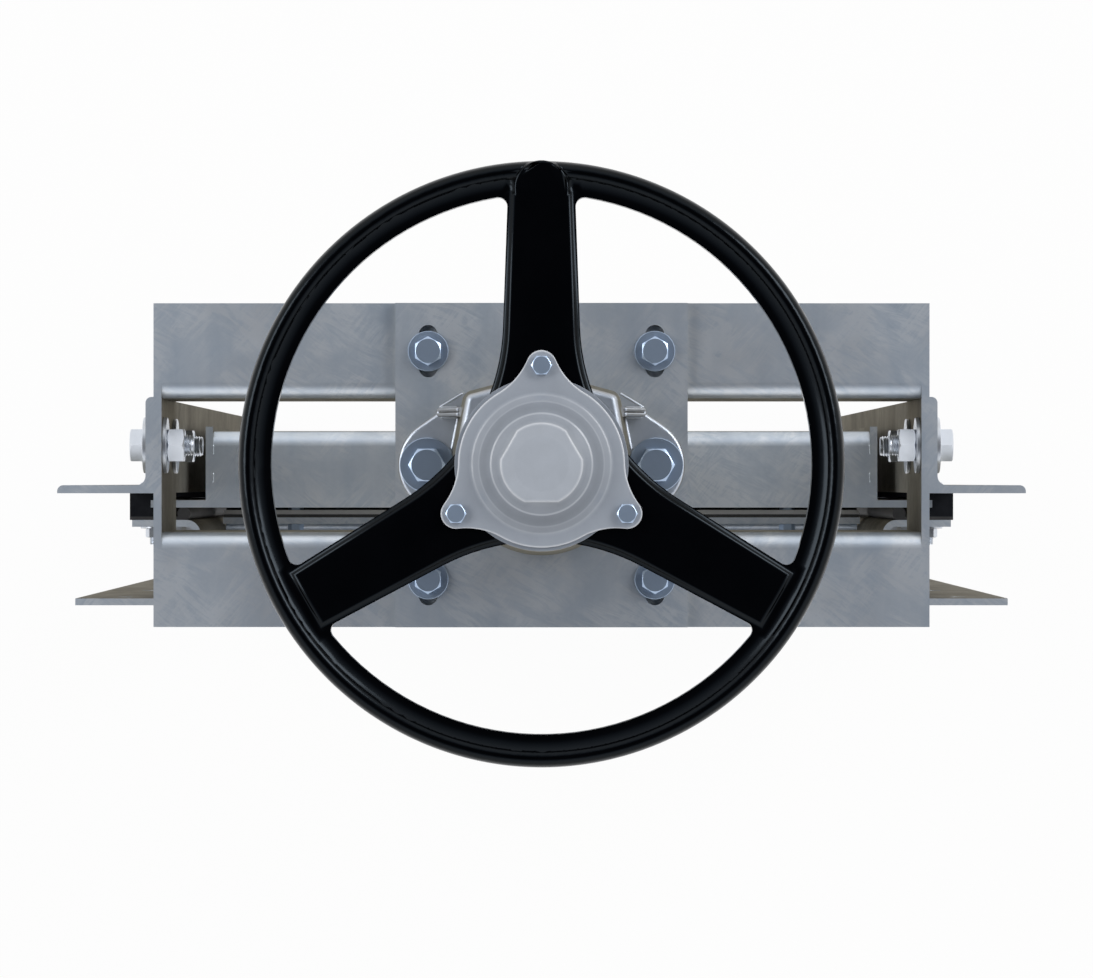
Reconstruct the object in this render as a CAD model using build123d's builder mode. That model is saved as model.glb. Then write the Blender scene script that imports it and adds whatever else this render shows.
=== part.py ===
from build123d import *
from math import cos, radians, sin
import os

# A sluice gate for a wall opening, in millimetres. The wall plane is y = 0, the open side is -Y and
# z = 0 is the foot of the frame. The leaf is drawn raised, clear of the opening.
SIDES = {"left": -1, "right": 1}

# Plate work and fits
PLATE = 6.0
FOLD_INSIDE = 6.0
FIT_GAP = 0.3
HOLE_PLAY = 1.0

# Opening and frame posts
OPENING_WIDTH = 600.0
OPENING_HEIGHT = 600.0
FRAME_DEPTH = 75.0
POST_WALL_LEG = 110.0
POST_FRONT_LEG = 60.0
POST_ABOVE_LINTEL = 316.0
ANCHOR_HOLE = 14.0
ANCHOR_INSET = 39.0
ANCHOR_LOW_INSET = 155.0
ANCHOR_HIGH_INSET = 61.0
ANCHOR_COUNT = 4

# Sill, lintel and rubber seals
SILL_HEIGHT = 50.0
SILL_SEAL_HEIGHT = 9.0
SILL_SEAL_WIDTH = 12.0
SILL_SEAL_ROUND = 4.0
SEAL_GAP = 1.0
SEAL_BULB = 11.5
SEAL_TAIL = 3.0
SEAL_INSET = 14.5
LINTEL_HEIGHT = 50.0
SEAL_BAR_THICKNESS = 4.0
SEAL_BAR_HEIGHT = 26.0
SEAL_BAR_END_GAP = 1.0
LINTEL_BOLT_HEAD = 3.0
LINTEL_BOLT_END_INSET = 68.0
LINTEL_BOLT_COUNT = 5

# Guides and upright angles
GUIDE_THICKNESS = 22.0
GUIDE_LIP = 5.0
GUIDE_EDGE_GAP = 6.0
ANGLE_LEG = 72.0
ANGLE_SET_IN = 10.0
ANGLE_ROOT_RADIUS = 7.0
ANGLE_TOE_RADIUS = 4.5
GUIDE_BOLT_INSET = 16.5
GUIDE_BOLT_END_INSET = 63.0
GUIDE_BOLT_COUNT = 7

# Leaf
LEAF_SIDE_OVERLAP = 20.0
LEAF_TOP_OVERLAP = 70.0
LEAF_LIP_GAP = 1.5
LEAF_SIDE_GAP = 15.0
LEAF_HEADROOM = 210.0
SIDE_PLATE_LAP = 3.5
TOP_BEAM_HEIGHT = 80.0
LOWER_BEAM_HEIGHT = 60.0
BEAM_FRONT_MARGIN = 7.2

# Stem and its nut
STEM_DIAMETER = 30.0
STEM_SHOULDER = 3.0
STEM_TAIL = 10.0
STEM_PASSAGE_GAP = 7.0
STEM_NUT_WALL = 7.0
STEM_NUT_BACK_GAP = 5.5
STEM_NUT_DROP = 40.0
STEM_NUT_FLANGE_THICKNESS = 14.0
STEM_NUT_BOLT_GAP = 12.0
STEM_NUT_BOLT_INSET = 11.0

# Yoke and drive plate
YOKE_HEIGHT = 150.0
YOKE_GAP = 99.5
YOKE_BOLT_FORWARD = 15.0
YOKE_BOLT_INSET = 24.0
DRIVE_PLATE_LENGTH = 218.0
DRIVE_PLATE_THICKNESS = 8.0
DRIVE_SLOT_WIDTH = 14.0
DRIVE_SLOT_LENGTH = 39.0
DRIVE_SLOT_END_INSET = 24.5
DRIVE_SLOT_EDGE_INSET = 36.0

# Bearing housing
EAR_BOLT_INSET = 24.0
EAR_RADIUS = 35.0
EAR_TIP = 21.5
HOUSING_FLANGE_THICKNESS = 16.0
EAR_WASHER_GAP = 0.5
EAR_EDGE_ROUND = 2.5
HOUSING_REAR_RADIUS = 67.0
HOUSING_CORNER_SPACING = 100.0
HOUSING_CORNER_FORWARD = 46.6
HOUSING_CORNER_RADIUS = 9.0
HOUSING_LEAN_SHARE = 0.39
HOUSING_ROUND_SHARE = 0.52
HOUSING_ROUND_ANGLES = [0, 30, 60, 90]
HOUSING_HEIGHT = 100.0
HOUSING_NECK_DIAMETER = 84.0
HOUSING_NECK_HEIGHT = 12.0
HOUSING_RIB_THICKNESS = 7.0
HOUSING_RIB_END_SHARE = 0.45
HOUSING_RIB_FORWARD = 39.0
HOUSING_RIB_OUT = 10.0
HOUSING_RIB_HEIGHT = 50.0

# Handwheel
WHEEL_DIAMETER = 430.0
RIM_WIDTH = 23.5
RIM_BEAD_WIDTH = 14.0
RIM_BEAD_HEIGHT = 20.0
RIM_LEDGE_HEIGHT = 12.0
SPOKE_COUNT = 3
SPOKE_RISE = 4.5
SPOKE_EDGE = 1.0
SPOKE_SLOPE = 3.0
SPOKE_RIM_WIDTH = 47.5
SPOKE_ROOT_WIDTH = 61.5
SPOKE_RIM_FILLET = 6.5
SPOKE_ROOT_RADIUS = 150.0
SPOKE_PAD_WIDTH = 39.0
HUB_DIAMETER = 104.0
HUB_BOSS_DIAMETER = 76.0
HUB_FLARE = 14.0
HUB_HEIGHT = 91.0
HUB_GAP = 5.0

# Cap and hub nut
CAP_DIAMETER = 118.0
CAP_LOBE_RADIUS = 10.8
CAP_FLARE_ANGLE = 31.0
CAP_FLANGE = 4.0
CAP_SKIRT_DIAMETER = 123.0
CAP_SKIRT_HEIGHT = 1.5
CAP_WALL = 3.0
CAP_RISE = 25.0
CAP_RADIUS_SHARES = [0.83, 0.75, 0.61, 0.60, 0.495]
CAP_HEIGHT_SHARES = [0.16, 0.36, 0.68, 0.70, 1.0]
CAP_FLAT_DISTANCE = 26.8
CAP_FLAT_DEPTH = 5.0
HUB_NUT_WALL = 6.0
HUB_NUT_HEIGHT = 14.0

# Bolts: diameter, width across flats, head, nut, then washer diameter and thickness
HEX_SIDE_COUNT = 6
BOLT_END = 6.5
M8 = 8.0
M8_FLATS = 13.0
M8_HEAD = 5.3
M8_NUT = 8.0
M8_WASHER = 24.0
M8_WASHER_THICKNESS = 2.0
M12 = 12.0
M12_FLATS = 19.0
M12_HEAD = 7.5
M12_NUT = 10.8
M12_WASHER = 30.0
M12_WASHER_THICKNESS = 2.5
M16 = 16.0
M16_FLATS = 24.0
M16_HEAD = 10.0
M16_NUT = 13.0
M16_WASHER = 40.5
M16_WASHER_THICKNESS = 3.0
YOKE_WASHER = 42.0

# Heights worked out from the sizes above
LEAF_SHUT_FOOT = SILL_HEIGHT + SILL_SEAL_HEIGHT + SEAL_GAP
LINTEL_FOOT = LEAF_SHUT_FOOT + OPENING_HEIGHT
LINTEL_TOP = LINTEL_FOOT + LINTEL_HEIGHT
POST_HEIGHT = LINTEL_TOP + POST_ABOVE_LINTEL
LEAF_FOOT = LEAF_SHUT_FOOT + OPENING_HEIGHT
LEAF_HEIGHT = OPENING_HEIGHT + LEAF_TOP_OVERLAP
LEAF_TOP = LEAF_FOOT + LEAF_HEIGHT
YOKE_FOOT = LEAF_TOP + LEAF_HEADROOM
YOKE_MIDDLE = YOKE_FOOT + YOKE_HEIGHT / 2
YOKE_TOP = YOKE_FOOT + YOKE_HEIGHT
DRIVE_TOP = YOKE_TOP + DRIVE_PLATE_THICKNESS
EAR_TOP = DRIVE_TOP + HOUSING_FLANGE_THICKNESS
HUB_FOOT = DRIVE_TOP + HOUSING_HEIGHT + HUB_GAP
HUB_TOP = HUB_FOOT + HUB_HEIGHT
LEDGE_TOP = HUB_TOP - SPOKE_RISE
RIM_MIDDLE = LEDGE_TOP - RIM_LEDGE_HEIGHT / 2
STEM_FOOT = LEAF_TOP - OPENING_HEIGHT - STEM_NUT_DROP - STEM_TAIL

# Depths from the wall, and widths from the middle plane
GUIDE_BACK = -FRAME_DEPTH - SEAL_TAIL
GUIDE_FRONT = GUIDE_BACK - GUIDE_THICKNESS
ANGLE_FACE = GUIDE_FRONT - PLATE
ANGLE_TOE = GUIDE_FRONT - ANGLE_LEG
LEAF_FRONT = GUIDE_FRONT + GUIDE_LIP + LEAF_LIP_GAP
LEAF_BACK = LEAF_FRONT + PLATE
STEM_NUT_DIAMETER = STEM_DIAMETER + 2 * STEM_NUT_WALL
STEM_Y = LEAF_FRONT - STEM_NUT_BACK_GAP - STEM_NUT_DIAMETER / 2
BEAM_FRONT = STEM_Y - STEM_NUT_DIAMETER / 2 - BEAM_FRONT_MARGIN
YOKE_DEPTH = -2 * STEM_Y
HALF_OPENING = OPENING_WIDTH / 2
ANGLE_INSIDE = HALF_OPENING - ANGLE_SET_IN
GUIDE_OUTSIDE = ANGLE_INSIDE + ANGLE_LEG
GUIDE_BOLT_X = GUIDE_OUTSIDE - GUIDE_BOLT_INSET
LEAF_WIDTH = OPENING_WIDTH + 2 * LEAF_SIDE_OVERLAP
GROOVE_FLOOR = LEAF_WIDTH / 2 + GUIDE_EDGE_GAP
SIDE_PLATE_OUTSIDE = ANGLE_INSIDE - LEAF_SIDE_GAP
BEAM_LENGTH = 2 * (SIDE_PLATE_OUTSIDE - PLATE)
YOKE_INNER_LENGTH = 2 * (ANGLE_INSIDE - PLATE)
YOKE_BOLT_SPACING = YOKE_HEIGHT - 2 * YOKE_BOLT_INSET
SLOT_SPACING_X = DRIVE_PLATE_LENGTH - 2 * DRIVE_SLOT_END_INSET
SLOT_SPACING_Y = YOKE_DEPTH - 2 * DRIVE_SLOT_EDGE_INSET
EAR_BOLT_SPACING = DRIVE_PLATE_LENGTH - 2 * EAR_BOLT_INSET
HOUSING_RIB_REACH = HOUSING_REAR_RADIUS + HOUSING_RIB_OUT
STEM_PASSAGE = STEM_DIAMETER + 2 * STEM_PASSAGE_GAP
STEM_TOP_DIAMETER = STEM_DIAMETER - 2 * STEM_SHOULDER
STEM_AXIS = Axis((0, STEM_Y, 0), (0, 0, 1))
ABOVE_STEM = Plane.XZ.offset(-STEM_Y)

os.makedirs("parts", exist_ok=True)


def keep(piece, name):
    """Label a finished piece and write it under its node name."""
    piece.label = name
    export_step(piece, f"parts/{name}.step")


def at_stem(height):
    """Level plane at a height, centred on the stem."""
    return Plane((0, STEM_Y, height))


def spread(low, high, count):
    """Evenly spaced heights from low to high."""
    return [low + (high - low) * number / (count - 1) for number in range(count)]


def folded(points):
    """Cross section of a folded plate: its outer line, thickened to the left of its run."""
    with BuildSketch() as section:
        with BuildLine():
            FilletPolyline(*points, radius=FOLD_INSIDE + PLATE)
            offset(amount=PLATE, side=Side.LEFT)
        make_face()
    return section.sketch


def bulb_and_tail(reach):
    """Cross section of a rubber seal: a round bulb on the line y = 0, with a flat tail along +X."""
    with BuildSketch() as section:
        with Locations((0, -SEAL_BULB / 2)):
            Circle(SEAL_BULB / 2)
        with Locations((reach / 2, -SEAL_TAIL / 2)):
            Rectangle(reach, SEAL_TAIL)
    return section.sketch


def bolt(diameter, flats, head, nut, washer, washer_thickness, grip):
    """Hexagon bolt with two washers and a nut on a joint of thickness grip, whose upper face is z = 0."""
    nut_top = -grip - washer_thickness
    nut_foot = nut_top - nut
    with BuildPart() as fastener:
        with BuildSketch(Plane.XY.offset(nut_foot - BOLT_END)):
            Circle(diameter / 2)
        extrude(amount=BOLT_END - nut_foot)
        with BuildSketch(Plane.XY, Plane.XY.offset(nut_top)):
            Circle(washer / 2)
        extrude(amount=washer_thickness)
        with BuildSketch(Plane.XY.offset(washer_thickness)):
            RegularPolygon(flats / 2, HEX_SIDE_COUNT, major_radius=False)
        extrude(amount=head)
        with BuildSketch(Plane.XY.offset(nut_foot)):
            RegularPolygon(flats / 2, HEX_SIDE_COUNT, major_radius=False)
        extrude(amount=nut)
    return fastener.part


def stud(head_flats, head, length, nut=0):
    """M8 screw from the face z = 0 down: hexagon head above, and a nut at its end where one is given."""
    with BuildPart() as fastener:
        with BuildSketch():
            RegularPolygon(head_flats / 2, HEX_SIDE_COUNT, major_radius=False)
        extrude(amount=head)
        with BuildSketch():
            Circle(M8 / 2)
        extrude(amount=-length - 2 * nut)
        if nut:
            with BuildSketch(Plane.XY.offset(-length)):
                RegularPolygon(M8_FLATS / 2, HEX_SIDE_COUNT, major_radius=False)
            extrude(amount=-nut)
    return fastener.part


# Frame posts: folded channels that open outwards, with the wider leg against the wall
ANCHOR_X = HALF_OPENING + POST_WALL_LEG - ANCHOR_INSET
anchor_places = [
    (ANCHOR_X, height)
    for height in spread(ANCHOR_LOW_INSET, POST_HEIGHT - ANCHOR_HIGH_INSET, ANCHOR_COUNT)
]
guide_bolt_places = [
    (GUIDE_BOLT_X, height)
    for height in spread(GUIDE_BOLT_END_INSET, POST_HEIGHT - GUIDE_BOLT_END_INSET, GUIDE_BOLT_COUNT)
]

for name, side in SIDES.items():
    with BuildPart() as frame_channel:
        with BuildSketch():
            add(folded([
                (HALF_OPENING + POST_WALL_LEG, 0),
                (HALF_OPENING, 0),
                (HALF_OPENING, -FRAME_DEPTH),
                (HALF_OPENING + POST_FRONT_LEG, -FRAME_DEPTH),
            ]))
        extrude(amount=POST_HEIGHT)
        with BuildSketch(Plane.XZ):
            with Locations(*anchor_places):
                Circle(ANCHOR_HOLE / 2)
        extrude(amount=PLATE, mode=Mode.SUBTRACT)
        with BuildSketch(Plane.XZ.offset(FRAME_DEPTH - PLATE)):
            with Locations(*guide_bolt_places):
                Circle((M8 + HOLE_PLAY) / 2)
        extrude(amount=PLATE, mode=Mode.SUBTRACT)
        if side < 0:
            mirror(about=Plane.YZ, mode=Mode.REPLACE)
    keep(frame_channel.part, f"{name}_frame_channel")

# Sill: a folded channel between the posts, a folded seat in front of it and the rubber under the leaf
SEAT_HALF_LENGTH = ANGLE_INSIDE - FIT_GAP

with BuildPart() as sill_beam:
    with BuildSketch(Plane.YZ.offset(-HALF_OPENING)):
        add(folded([(0, 0), (0, SILL_HEIGHT), (-FRAME_DEPTH, SILL_HEIGHT), (-FRAME_DEPTH, 0)]))
    extrude(amount=OPENING_WIDTH)
keep(sill_beam.part, "sill_beam")

with BuildPart() as sill_seat:
    with BuildSketch(Plane.YZ.offset(-SEAT_HALF_LENGTH)):
        add(folded([(-FRAME_DEPTH, 0), (-FRAME_DEPTH, SILL_HEIGHT), (GUIDE_FRONT, SILL_HEIGHT)]))
    extrude(amount=2 * SEAT_HALF_LENGTH)
keep(sill_seat.part, "sill_seat")

with BuildPart() as sill_seal:
    with BuildSketch(Plane.XY.offset(SILL_HEIGHT)):
        with Locations((0, (LEAF_FRONT + LEAF_BACK) / 2)):
            Rectangle(2 * SEAT_HALF_LENGTH, SILL_SEAL_WIDTH)
    extrude(amount=SILL_SEAL_HEIGHT)
    fillet(sill_seal.edges().filter_by(Axis.X).group_by(Axis.Z)[-1], SILL_SEAL_ROUND)
keep(sill_seal.part, "sill_seal")

# Lintel: a folded channel over the opening, its rubber seal, the clamp bar and the bar's screws
SEAL_BULB_HEIGHT = LINTEL_FOOT + PLATE + SEAL_BULB / 2
SEAL_BAR_MIDDLE = LINTEL_TOP - SEAL_BAR_HEIGHT / 2
SEAL_BAR_FRONT = GUIDE_BACK - SEAL_BAR_THICKNESS
BAR_LENGTH = OPENING_WIDTH - 2 * SEAL_BAR_END_GAP
LINTEL_GRIP = SEAL_BAR_THICKNESS + SEAL_TAIL + PLATE
lintel_bolt_places = [
    (place, SEAL_BAR_MIDDLE)
    for place in spread(
        LINTEL_BOLT_END_INSET - HALF_OPENING,
        HALF_OPENING - LINTEL_BOLT_END_INSET,
        LINTEL_BOLT_COUNT,
    )
]

with BuildPart() as lintel_beam:
    with BuildSketch(Plane.YZ.offset(-HALF_OPENING)):
        add(folded([
            (-FRAME_DEPTH, LINTEL_TOP),
            (-FRAME_DEPTH, LINTEL_FOOT),
            (0, LINTEL_FOOT),
            (0, LINTEL_TOP),
        ]))
    extrude(amount=OPENING_WIDTH)
    with BuildSketch(Plane.XZ.offset(FRAME_DEPTH - PLATE)):
        with Locations(*lintel_bolt_places):
            Circle((M8 + HOLE_PLAY) / 2)
    extrude(amount=PLATE, mode=Mode.SUBTRACT)
keep(lintel_beam.part, "lintel_beam")

with BuildPart() as lintel_seal:
    seal_start = (-BAR_LENGTH / 2, -FRAME_DEPTH, SEAL_BULB_HEIGHT)
    with BuildSketch(Plane(seal_start, x_dir=(0, 0, 1), z_dir=(1, 0, 0))):
        add(bulb_and_tail(LINTEL_TOP - SEAL_BULB_HEIGHT).mirror(Plane.XZ))
    extrude(amount=BAR_LENGTH)
    with BuildSketch(Plane.XZ.offset(FRAME_DEPTH)):
        with Locations(*lintel_bolt_places):
            Circle((M8 + HOLE_PLAY) / 2)
    extrude(amount=SEAL_TAIL, mode=Mode.SUBTRACT)
keep(lintel_seal.part, "lintel_seal")

with BuildPart() as lintel_seal_bar:
    with BuildSketch(Plane.XZ.offset(-GUIDE_BACK)):
        with Locations((0, SEAL_BAR_MIDDLE)):
            Rectangle(BAR_LENGTH, SEAL_BAR_HEIGHT)
        with Locations(*lintel_bolt_places):
            Circle((M8 + HOLE_PLAY) / 2, mode=Mode.SUBTRACT)
    extrude(amount=SEAL_BAR_THICKNESS)
keep(lintel_seal_bar.part, "lintel_seal_bar")

with BuildPart() as lintel_seal_bolts:
    with Locations(*[
        Plane((place, SEAL_BAR_FRONT, height), x_dir=(1, 0, 0), z_dir=(0, -1, 0))
        for place, height in lintel_bolt_places
    ]):
        add(stud(M8_FLATS, LINTEL_BOLT_HEAD, LINTEL_GRIP, M8_NUT))
keep(lintel_seal_bolts.part, "lintel_seal_bolts")

# Side seals, guides, upright angles and the bolts that clamp all three to the posts
SEAL_X = HALF_OPENING + SEAL_INSET
CLAMP_GRIP = PLATE + GUIDE_THICKNESS + SEAL_TAIL + PLATE

for name, side in SIDES.items():
    with BuildPart() as bulb_seal:
        with BuildSketch(Plane((SEAL_X, -FRAME_DEPTH, 0))):
            add(bulb_and_tail(GUIDE_OUTSIDE - SEAL_X))
        extrude(amount=POST_HEIGHT)
        with BuildSketch(Plane.XZ.offset(FRAME_DEPTH)):
            with Locations(*guide_bolt_places):
                Circle((M8 + HOLE_PLAY) / 2)
        extrude(amount=SEAL_TAIL, mode=Mode.SUBTRACT)
        if side < 0:
            mirror(about=Plane.YZ, mode=Mode.REPLACE)
    keep(bulb_seal.part, f"{name}_bulb_seal")

    with BuildPart() as guide_strip:
        with BuildSketch():
            with BuildLine():
                Polyline(
                    (ANGLE_INSIDE, GUIDE_FRONT),
                    (GUIDE_OUTSIDE, GUIDE_FRONT),
                    (GUIDE_OUTSIDE, GUIDE_BACK),
                    (GROOVE_FLOOR, GUIDE_BACK),
                    (GROOVE_FLOOR, GUIDE_FRONT + GUIDE_LIP),
                    (ANGLE_INSIDE, GUIDE_FRONT + GUIDE_LIP),
                    close=True,
                )
            make_face()
        extrude(amount=POST_HEIGHT)
        with BuildSketch(Plane.XZ.offset(-GUIDE_BACK)):
            with Locations(*guide_bolt_places):
                Circle((M8 + HOLE_PLAY) / 2)
        extrude(amount=GUIDE_THICKNESS, mode=Mode.SUBTRACT)
        if side < 0:
            mirror(about=Plane.YZ, mode=Mode.REPLACE)
    keep(guide_strip.part, f"{name}_guide_strip")

    with BuildPart() as upright_angle:
        with BuildSketch() as angle_section:
            with BuildLine():
                Polyline(
                    (ANGLE_INSIDE, GUIDE_FRONT),
                    (GUIDE_OUTSIDE, GUIDE_FRONT),
                    (GUIDE_OUTSIDE, ANGLE_FACE),
                    (ANGLE_INSIDE + PLATE, ANGLE_FACE),
                    (ANGLE_INSIDE + PLATE, ANGLE_TOE),
                    (ANGLE_INSIDE, ANGLE_TOE),
                    close=True,
                )
            make_face()
            root = (ANGLE_INSIDE + PLATE, ANGLE_FACE)
            flange_toe = (GUIDE_OUTSIDE, ANGLE_FACE)
            leg_toe = (ANGLE_INSIDE + PLATE, ANGLE_TOE)
            fillet(angle_section.vertices().sort_by_distance(root)[0], ANGLE_ROOT_RADIUS)
            for toe in (flange_toe, leg_toe):
                fillet(angle_section.vertices().sort_by_distance(toe)[0], ANGLE_TOE_RADIUS)
        extrude(amount=YOKE_TOP)
        with BuildSketch(Plane.XZ.offset(-GUIDE_FRONT)):
            with Locations(*guide_bolt_places):
                Circle((M8 + HOLE_PLAY) / 2)
        extrude(amount=PLATE, mode=Mode.SUBTRACT)
        with BuildSketch(Plane.YZ.offset(ANGLE_INSIDE)):
            with Locations((STEM_Y - YOKE_BOLT_FORWARD, YOKE_MIDDLE)):
                with GridLocations(0, YOKE_BOLT_SPACING, 1, 2):
                    Circle((M16 + HOLE_PLAY) / 2)
        extrude(amount=PLATE, mode=Mode.SUBTRACT)
        if side < 0:
            mirror(about=Plane.YZ, mode=Mode.REPLACE)
    keep(upright_angle.part, f"{name}_upright_angle")

    with BuildPart() as guide_bolts:
        with Locations(*[
            Plane((side * place, ANGLE_FACE, height), x_dir=(1, 0, 0), z_dir=(0, -1, 0))
            for place, height in guide_bolt_places
        ]):
            add(bolt(M8, M8_FLATS, M8_HEAD, M8_NUT, M8_WASHER, M8_WASHER_THICKNESS, CLAMP_GRIP))
    keep(guide_bolts.part, f"{name}_guide_bolts")

# Yoke: two folded channels, back to back with a gap for the stem, closed by end plates
for name, side in {"front": -1, "rear": 1}.items():
    edge = STEM_Y + side * YOKE_DEPTH / 2
    web = STEM_Y + side * YOKE_GAP / 2
    run = [(edge, YOKE_TOP), (web, YOKE_TOP), (web, YOKE_FOOT), (edge, YOKE_FOOT)]
    with BuildPart() as yoke_channel:
        with BuildSketch(Plane.YZ.offset(-YOKE_INNER_LENGTH / 2)):
            add(folded(run[::side]))
        extrude(amount=YOKE_INNER_LENGTH)
        with BuildSketch(at_stem(YOKE_TOP)):
            with GridLocations(SLOT_SPACING_X, SLOT_SPACING_Y, 2, 2):
                Circle((M12 + HOLE_PLAY) / 2)
        extrude(amount=-PLATE, mode=Mode.SUBTRACT)
    keep(yoke_channel.part, f"{name}_yoke_channel")

for name, side in SIDES.items():
    with BuildPart() as yoke_end_plate:
        with BuildSketch(Plane.YZ.offset(side * (ANGLE_INSIDE - PLATE / 2))):
            with Locations((STEM_Y, YOKE_MIDDLE)):
                Rectangle(YOKE_DEPTH, YOKE_HEIGHT)
            with Locations((STEM_Y - YOKE_BOLT_FORWARD, YOKE_MIDDLE)):
                with GridLocations(0, YOKE_BOLT_SPACING, 1, 2):
                    Circle((M16 + HOLE_PLAY) / 2, mode=Mode.SUBTRACT)
        extrude(amount=PLATE / 2, both=True)
    keep(yoke_end_plate.part, f"{name}_yoke_end_plate")

    bolt_face = (side * (ANGLE_INSIDE + PLATE), STEM_Y - YOKE_BOLT_FORWARD, YOKE_MIDDLE)
    with BuildPart() as yoke_bolts:
        with Locations(Plane(bolt_face, x_dir=(0, 0, 1), z_dir=(side, 0, 0))):
            with GridLocations(YOKE_BOLT_SPACING, 0, 2, 1):
                add(bolt(
                    M16, M16_FLATS, M16_HEAD, M16_NUT, YOKE_WASHER, M16_WASHER_THICKNESS, 2 * PLATE
                ))
    keep(yoke_bolts.part, f"{name}_yoke_bolts")

# Drive plate, with slots for lining the bearing up with the stem
with BuildPart() as drive_plate:
    with BuildSketch(at_stem(YOKE_TOP)):
        Rectangle(DRIVE_PLATE_LENGTH, YOKE_DEPTH)
        Circle(STEM_PASSAGE / 2, mode=Mode.SUBTRACT)
        with GridLocations(SLOT_SPACING_X, SLOT_SPACING_Y, 2, 2):
            SlotOverall(DRIVE_SLOT_LENGTH, DRIVE_SLOT_WIDTH, rotation=90, mode=Mode.SUBTRACT)
        with GridLocations(EAR_BOLT_SPACING, 0, 2, 1):
            Circle((M16 + HOLE_PLAY) / 2, mode=Mode.SUBTRACT)
    extrude(amount=DRIVE_PLATE_THICKNESS)
keep(drive_plate.part, "drive_plate")

DRIVE_GRIP = DRIVE_PLATE_THICKNESS + PLATE
with BuildPart() as drive_plate_bolts:
    with Locations(at_stem(DRIVE_TOP)):
        with GridLocations(SLOT_SPACING_X, SLOT_SPACING_Y, 2, 2):
            add(bolt(
                M12, M12_FLATS, M12_HEAD, M12_NUT, M12_WASHER, M12_WASHER_THICKNESS, DRIVE_GRIP
            ), rotation=(0, 0, 90))
keep(drive_plate_bolts.part, "drive_plate_bolts")

# Bearing housing: one drafted casting, round behind and bowed in front, on a flange with two ears
EAR_SPACING = EAR_BOLT_SPACING + 2 * (EAR_TIP - EAR_RADIUS)
HOUSING_LEAN = HOUSING_CORNER_RADIUS * HOUSING_LEAN_SHARE
HOUSING_TOP_ROUND = HOUSING_CORNER_RADIUS * HOUSING_ROUND_SHARE
HOUSING_TOP = DRIVE_TOP + HOUSING_HEIGHT - HOUSING_NECK_HEIGHT


def housing_plan(inset):
    """Plan of the casting: round about the stem, pulled out to two front corners, less the inset."""
    with BuildSketch() as plan:
        Circle(HOUSING_REAR_RADIUS - inset)
        with Locations((0, -HOUSING_CORNER_FORWARD)):
            with GridLocations(HOUSING_CORNER_SPACING, 0, 2, 1):
                Circle(HOUSING_CORNER_RADIUS - inset)
        make_hull()
    return plan.sketch


def housing_body():
    """The casting's body on the ears' upper face: walls that lean in, then a rounded top edge."""
    shoulder = HOUSING_TOP - HOUSING_TOP_ROUND
    with BuildPart() as body:
        for height, inset in ((EAR_TOP, 0), (shoulder, HOUSING_LEAN)):
            with BuildSketch(at_stem(height)):
                add(housing_plan(inset))
        loft(ruled=True)
        for angle in HOUSING_ROUND_ANGLES:
            rise = HOUSING_TOP_ROUND * sin(radians(angle))
            inset = HOUSING_TOP_ROUND - HOUSING_TOP_ROUND * cos(radians(angle))
            with BuildSketch(at_stem(shoulder + rise)):
                add(housing_plan(HOUSING_LEAN + inset))
        loft()
    return body.part


def housing_rib():
    """Cross rib through the casting, sloping down from its walls to rounded ends on the ears."""
    with BuildPart() as rib:
        with BuildSketch(Plane.XZ.offset(HOUSING_RIB_FORWARD - STEM_Y)):
            with BuildLine():
                Polyline(
                    (-HOUSING_RIB_REACH, EAR_TOP - HOUSING_RIB_THICKNESS),
                    (HOUSING_RIB_REACH, EAR_TOP - HOUSING_RIB_THICKNESS),
                    (HOUSING_RIB_REACH, EAR_TOP + HOUSING_RIB_THICKNESS),
                    (HOUSING_CORNER_SPACING / 2, EAR_TOP + HOUSING_RIB_HEIGHT),
                    (-HOUSING_CORNER_SPACING / 2, EAR_TOP + HOUSING_RIB_HEIGHT),
                    (-HOUSING_RIB_REACH, EAR_TOP + HOUSING_RIB_THICKNESS),
                    close=True,
                )
            make_face()
        extrude(amount=HOUSING_RIB_THICKNESS / 2, both=True)
        fillet(rib.edges().filter_by(Axis.Z), HOUSING_RIB_THICKNESS * HOUSING_RIB_END_SHARE)
    return rib.part


with BuildPart() as bearing_housing:
    with BuildSketch(at_stem(DRIVE_TOP)):
        add(housing_plan(0))
        with GridLocations(EAR_SPACING, 0, 2, 1):
            Circle(EAR_RADIUS)
        make_hull()
    extrude(amount=HOUSING_FLANGE_THICKNESS)
    fillet(bearing_housing.faces().sort_by(Axis.Z)[-1].edges(), EAR_EDGE_ROUND)
    with BuildSketch(at_stem(DRIVE_TOP)):
        add(housing_plan(0))
        with Locations((0, -HOUSING_RIB_FORWARD)):
            Rectangle(2 * HOUSING_RIB_REACH, HOUSING_RIB_THICKNESS)
        make_hull()
    extrude(amount=HOUSING_FLANGE_THICKNESS)
    add(housing_body())
    add(housing_rib())
    with BuildSketch(at_stem(EAR_TOP)):
        with GridLocations(EAR_BOLT_SPACING, 0, 2, 1):
            Circle(M16_WASHER / 2 + EAR_WASHER_GAP)
    extrude(amount=HOUSING_HEIGHT, mode=Mode.SUBTRACT)
    with BuildSketch(at_stem(DRIVE_TOP)):
        Circle(HOUSING_NECK_DIAMETER / 2)
    extrude(amount=HOUSING_HEIGHT)
    with BuildSketch(at_stem(DRIVE_TOP)):
        Circle(STEM_DIAMETER / 2 + FIT_GAP)
    extrude(amount=HOUSING_HEIGHT, mode=Mode.SUBTRACT)
    with BuildSketch(at_stem(DRIVE_TOP)):
        with GridLocations(EAR_BOLT_SPACING, 0, 2, 1):
            Circle((M16 + HOLE_PLAY) / 2)
    extrude(amount=HOUSING_FLANGE_THICKNESS, mode=Mode.SUBTRACT)
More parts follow.
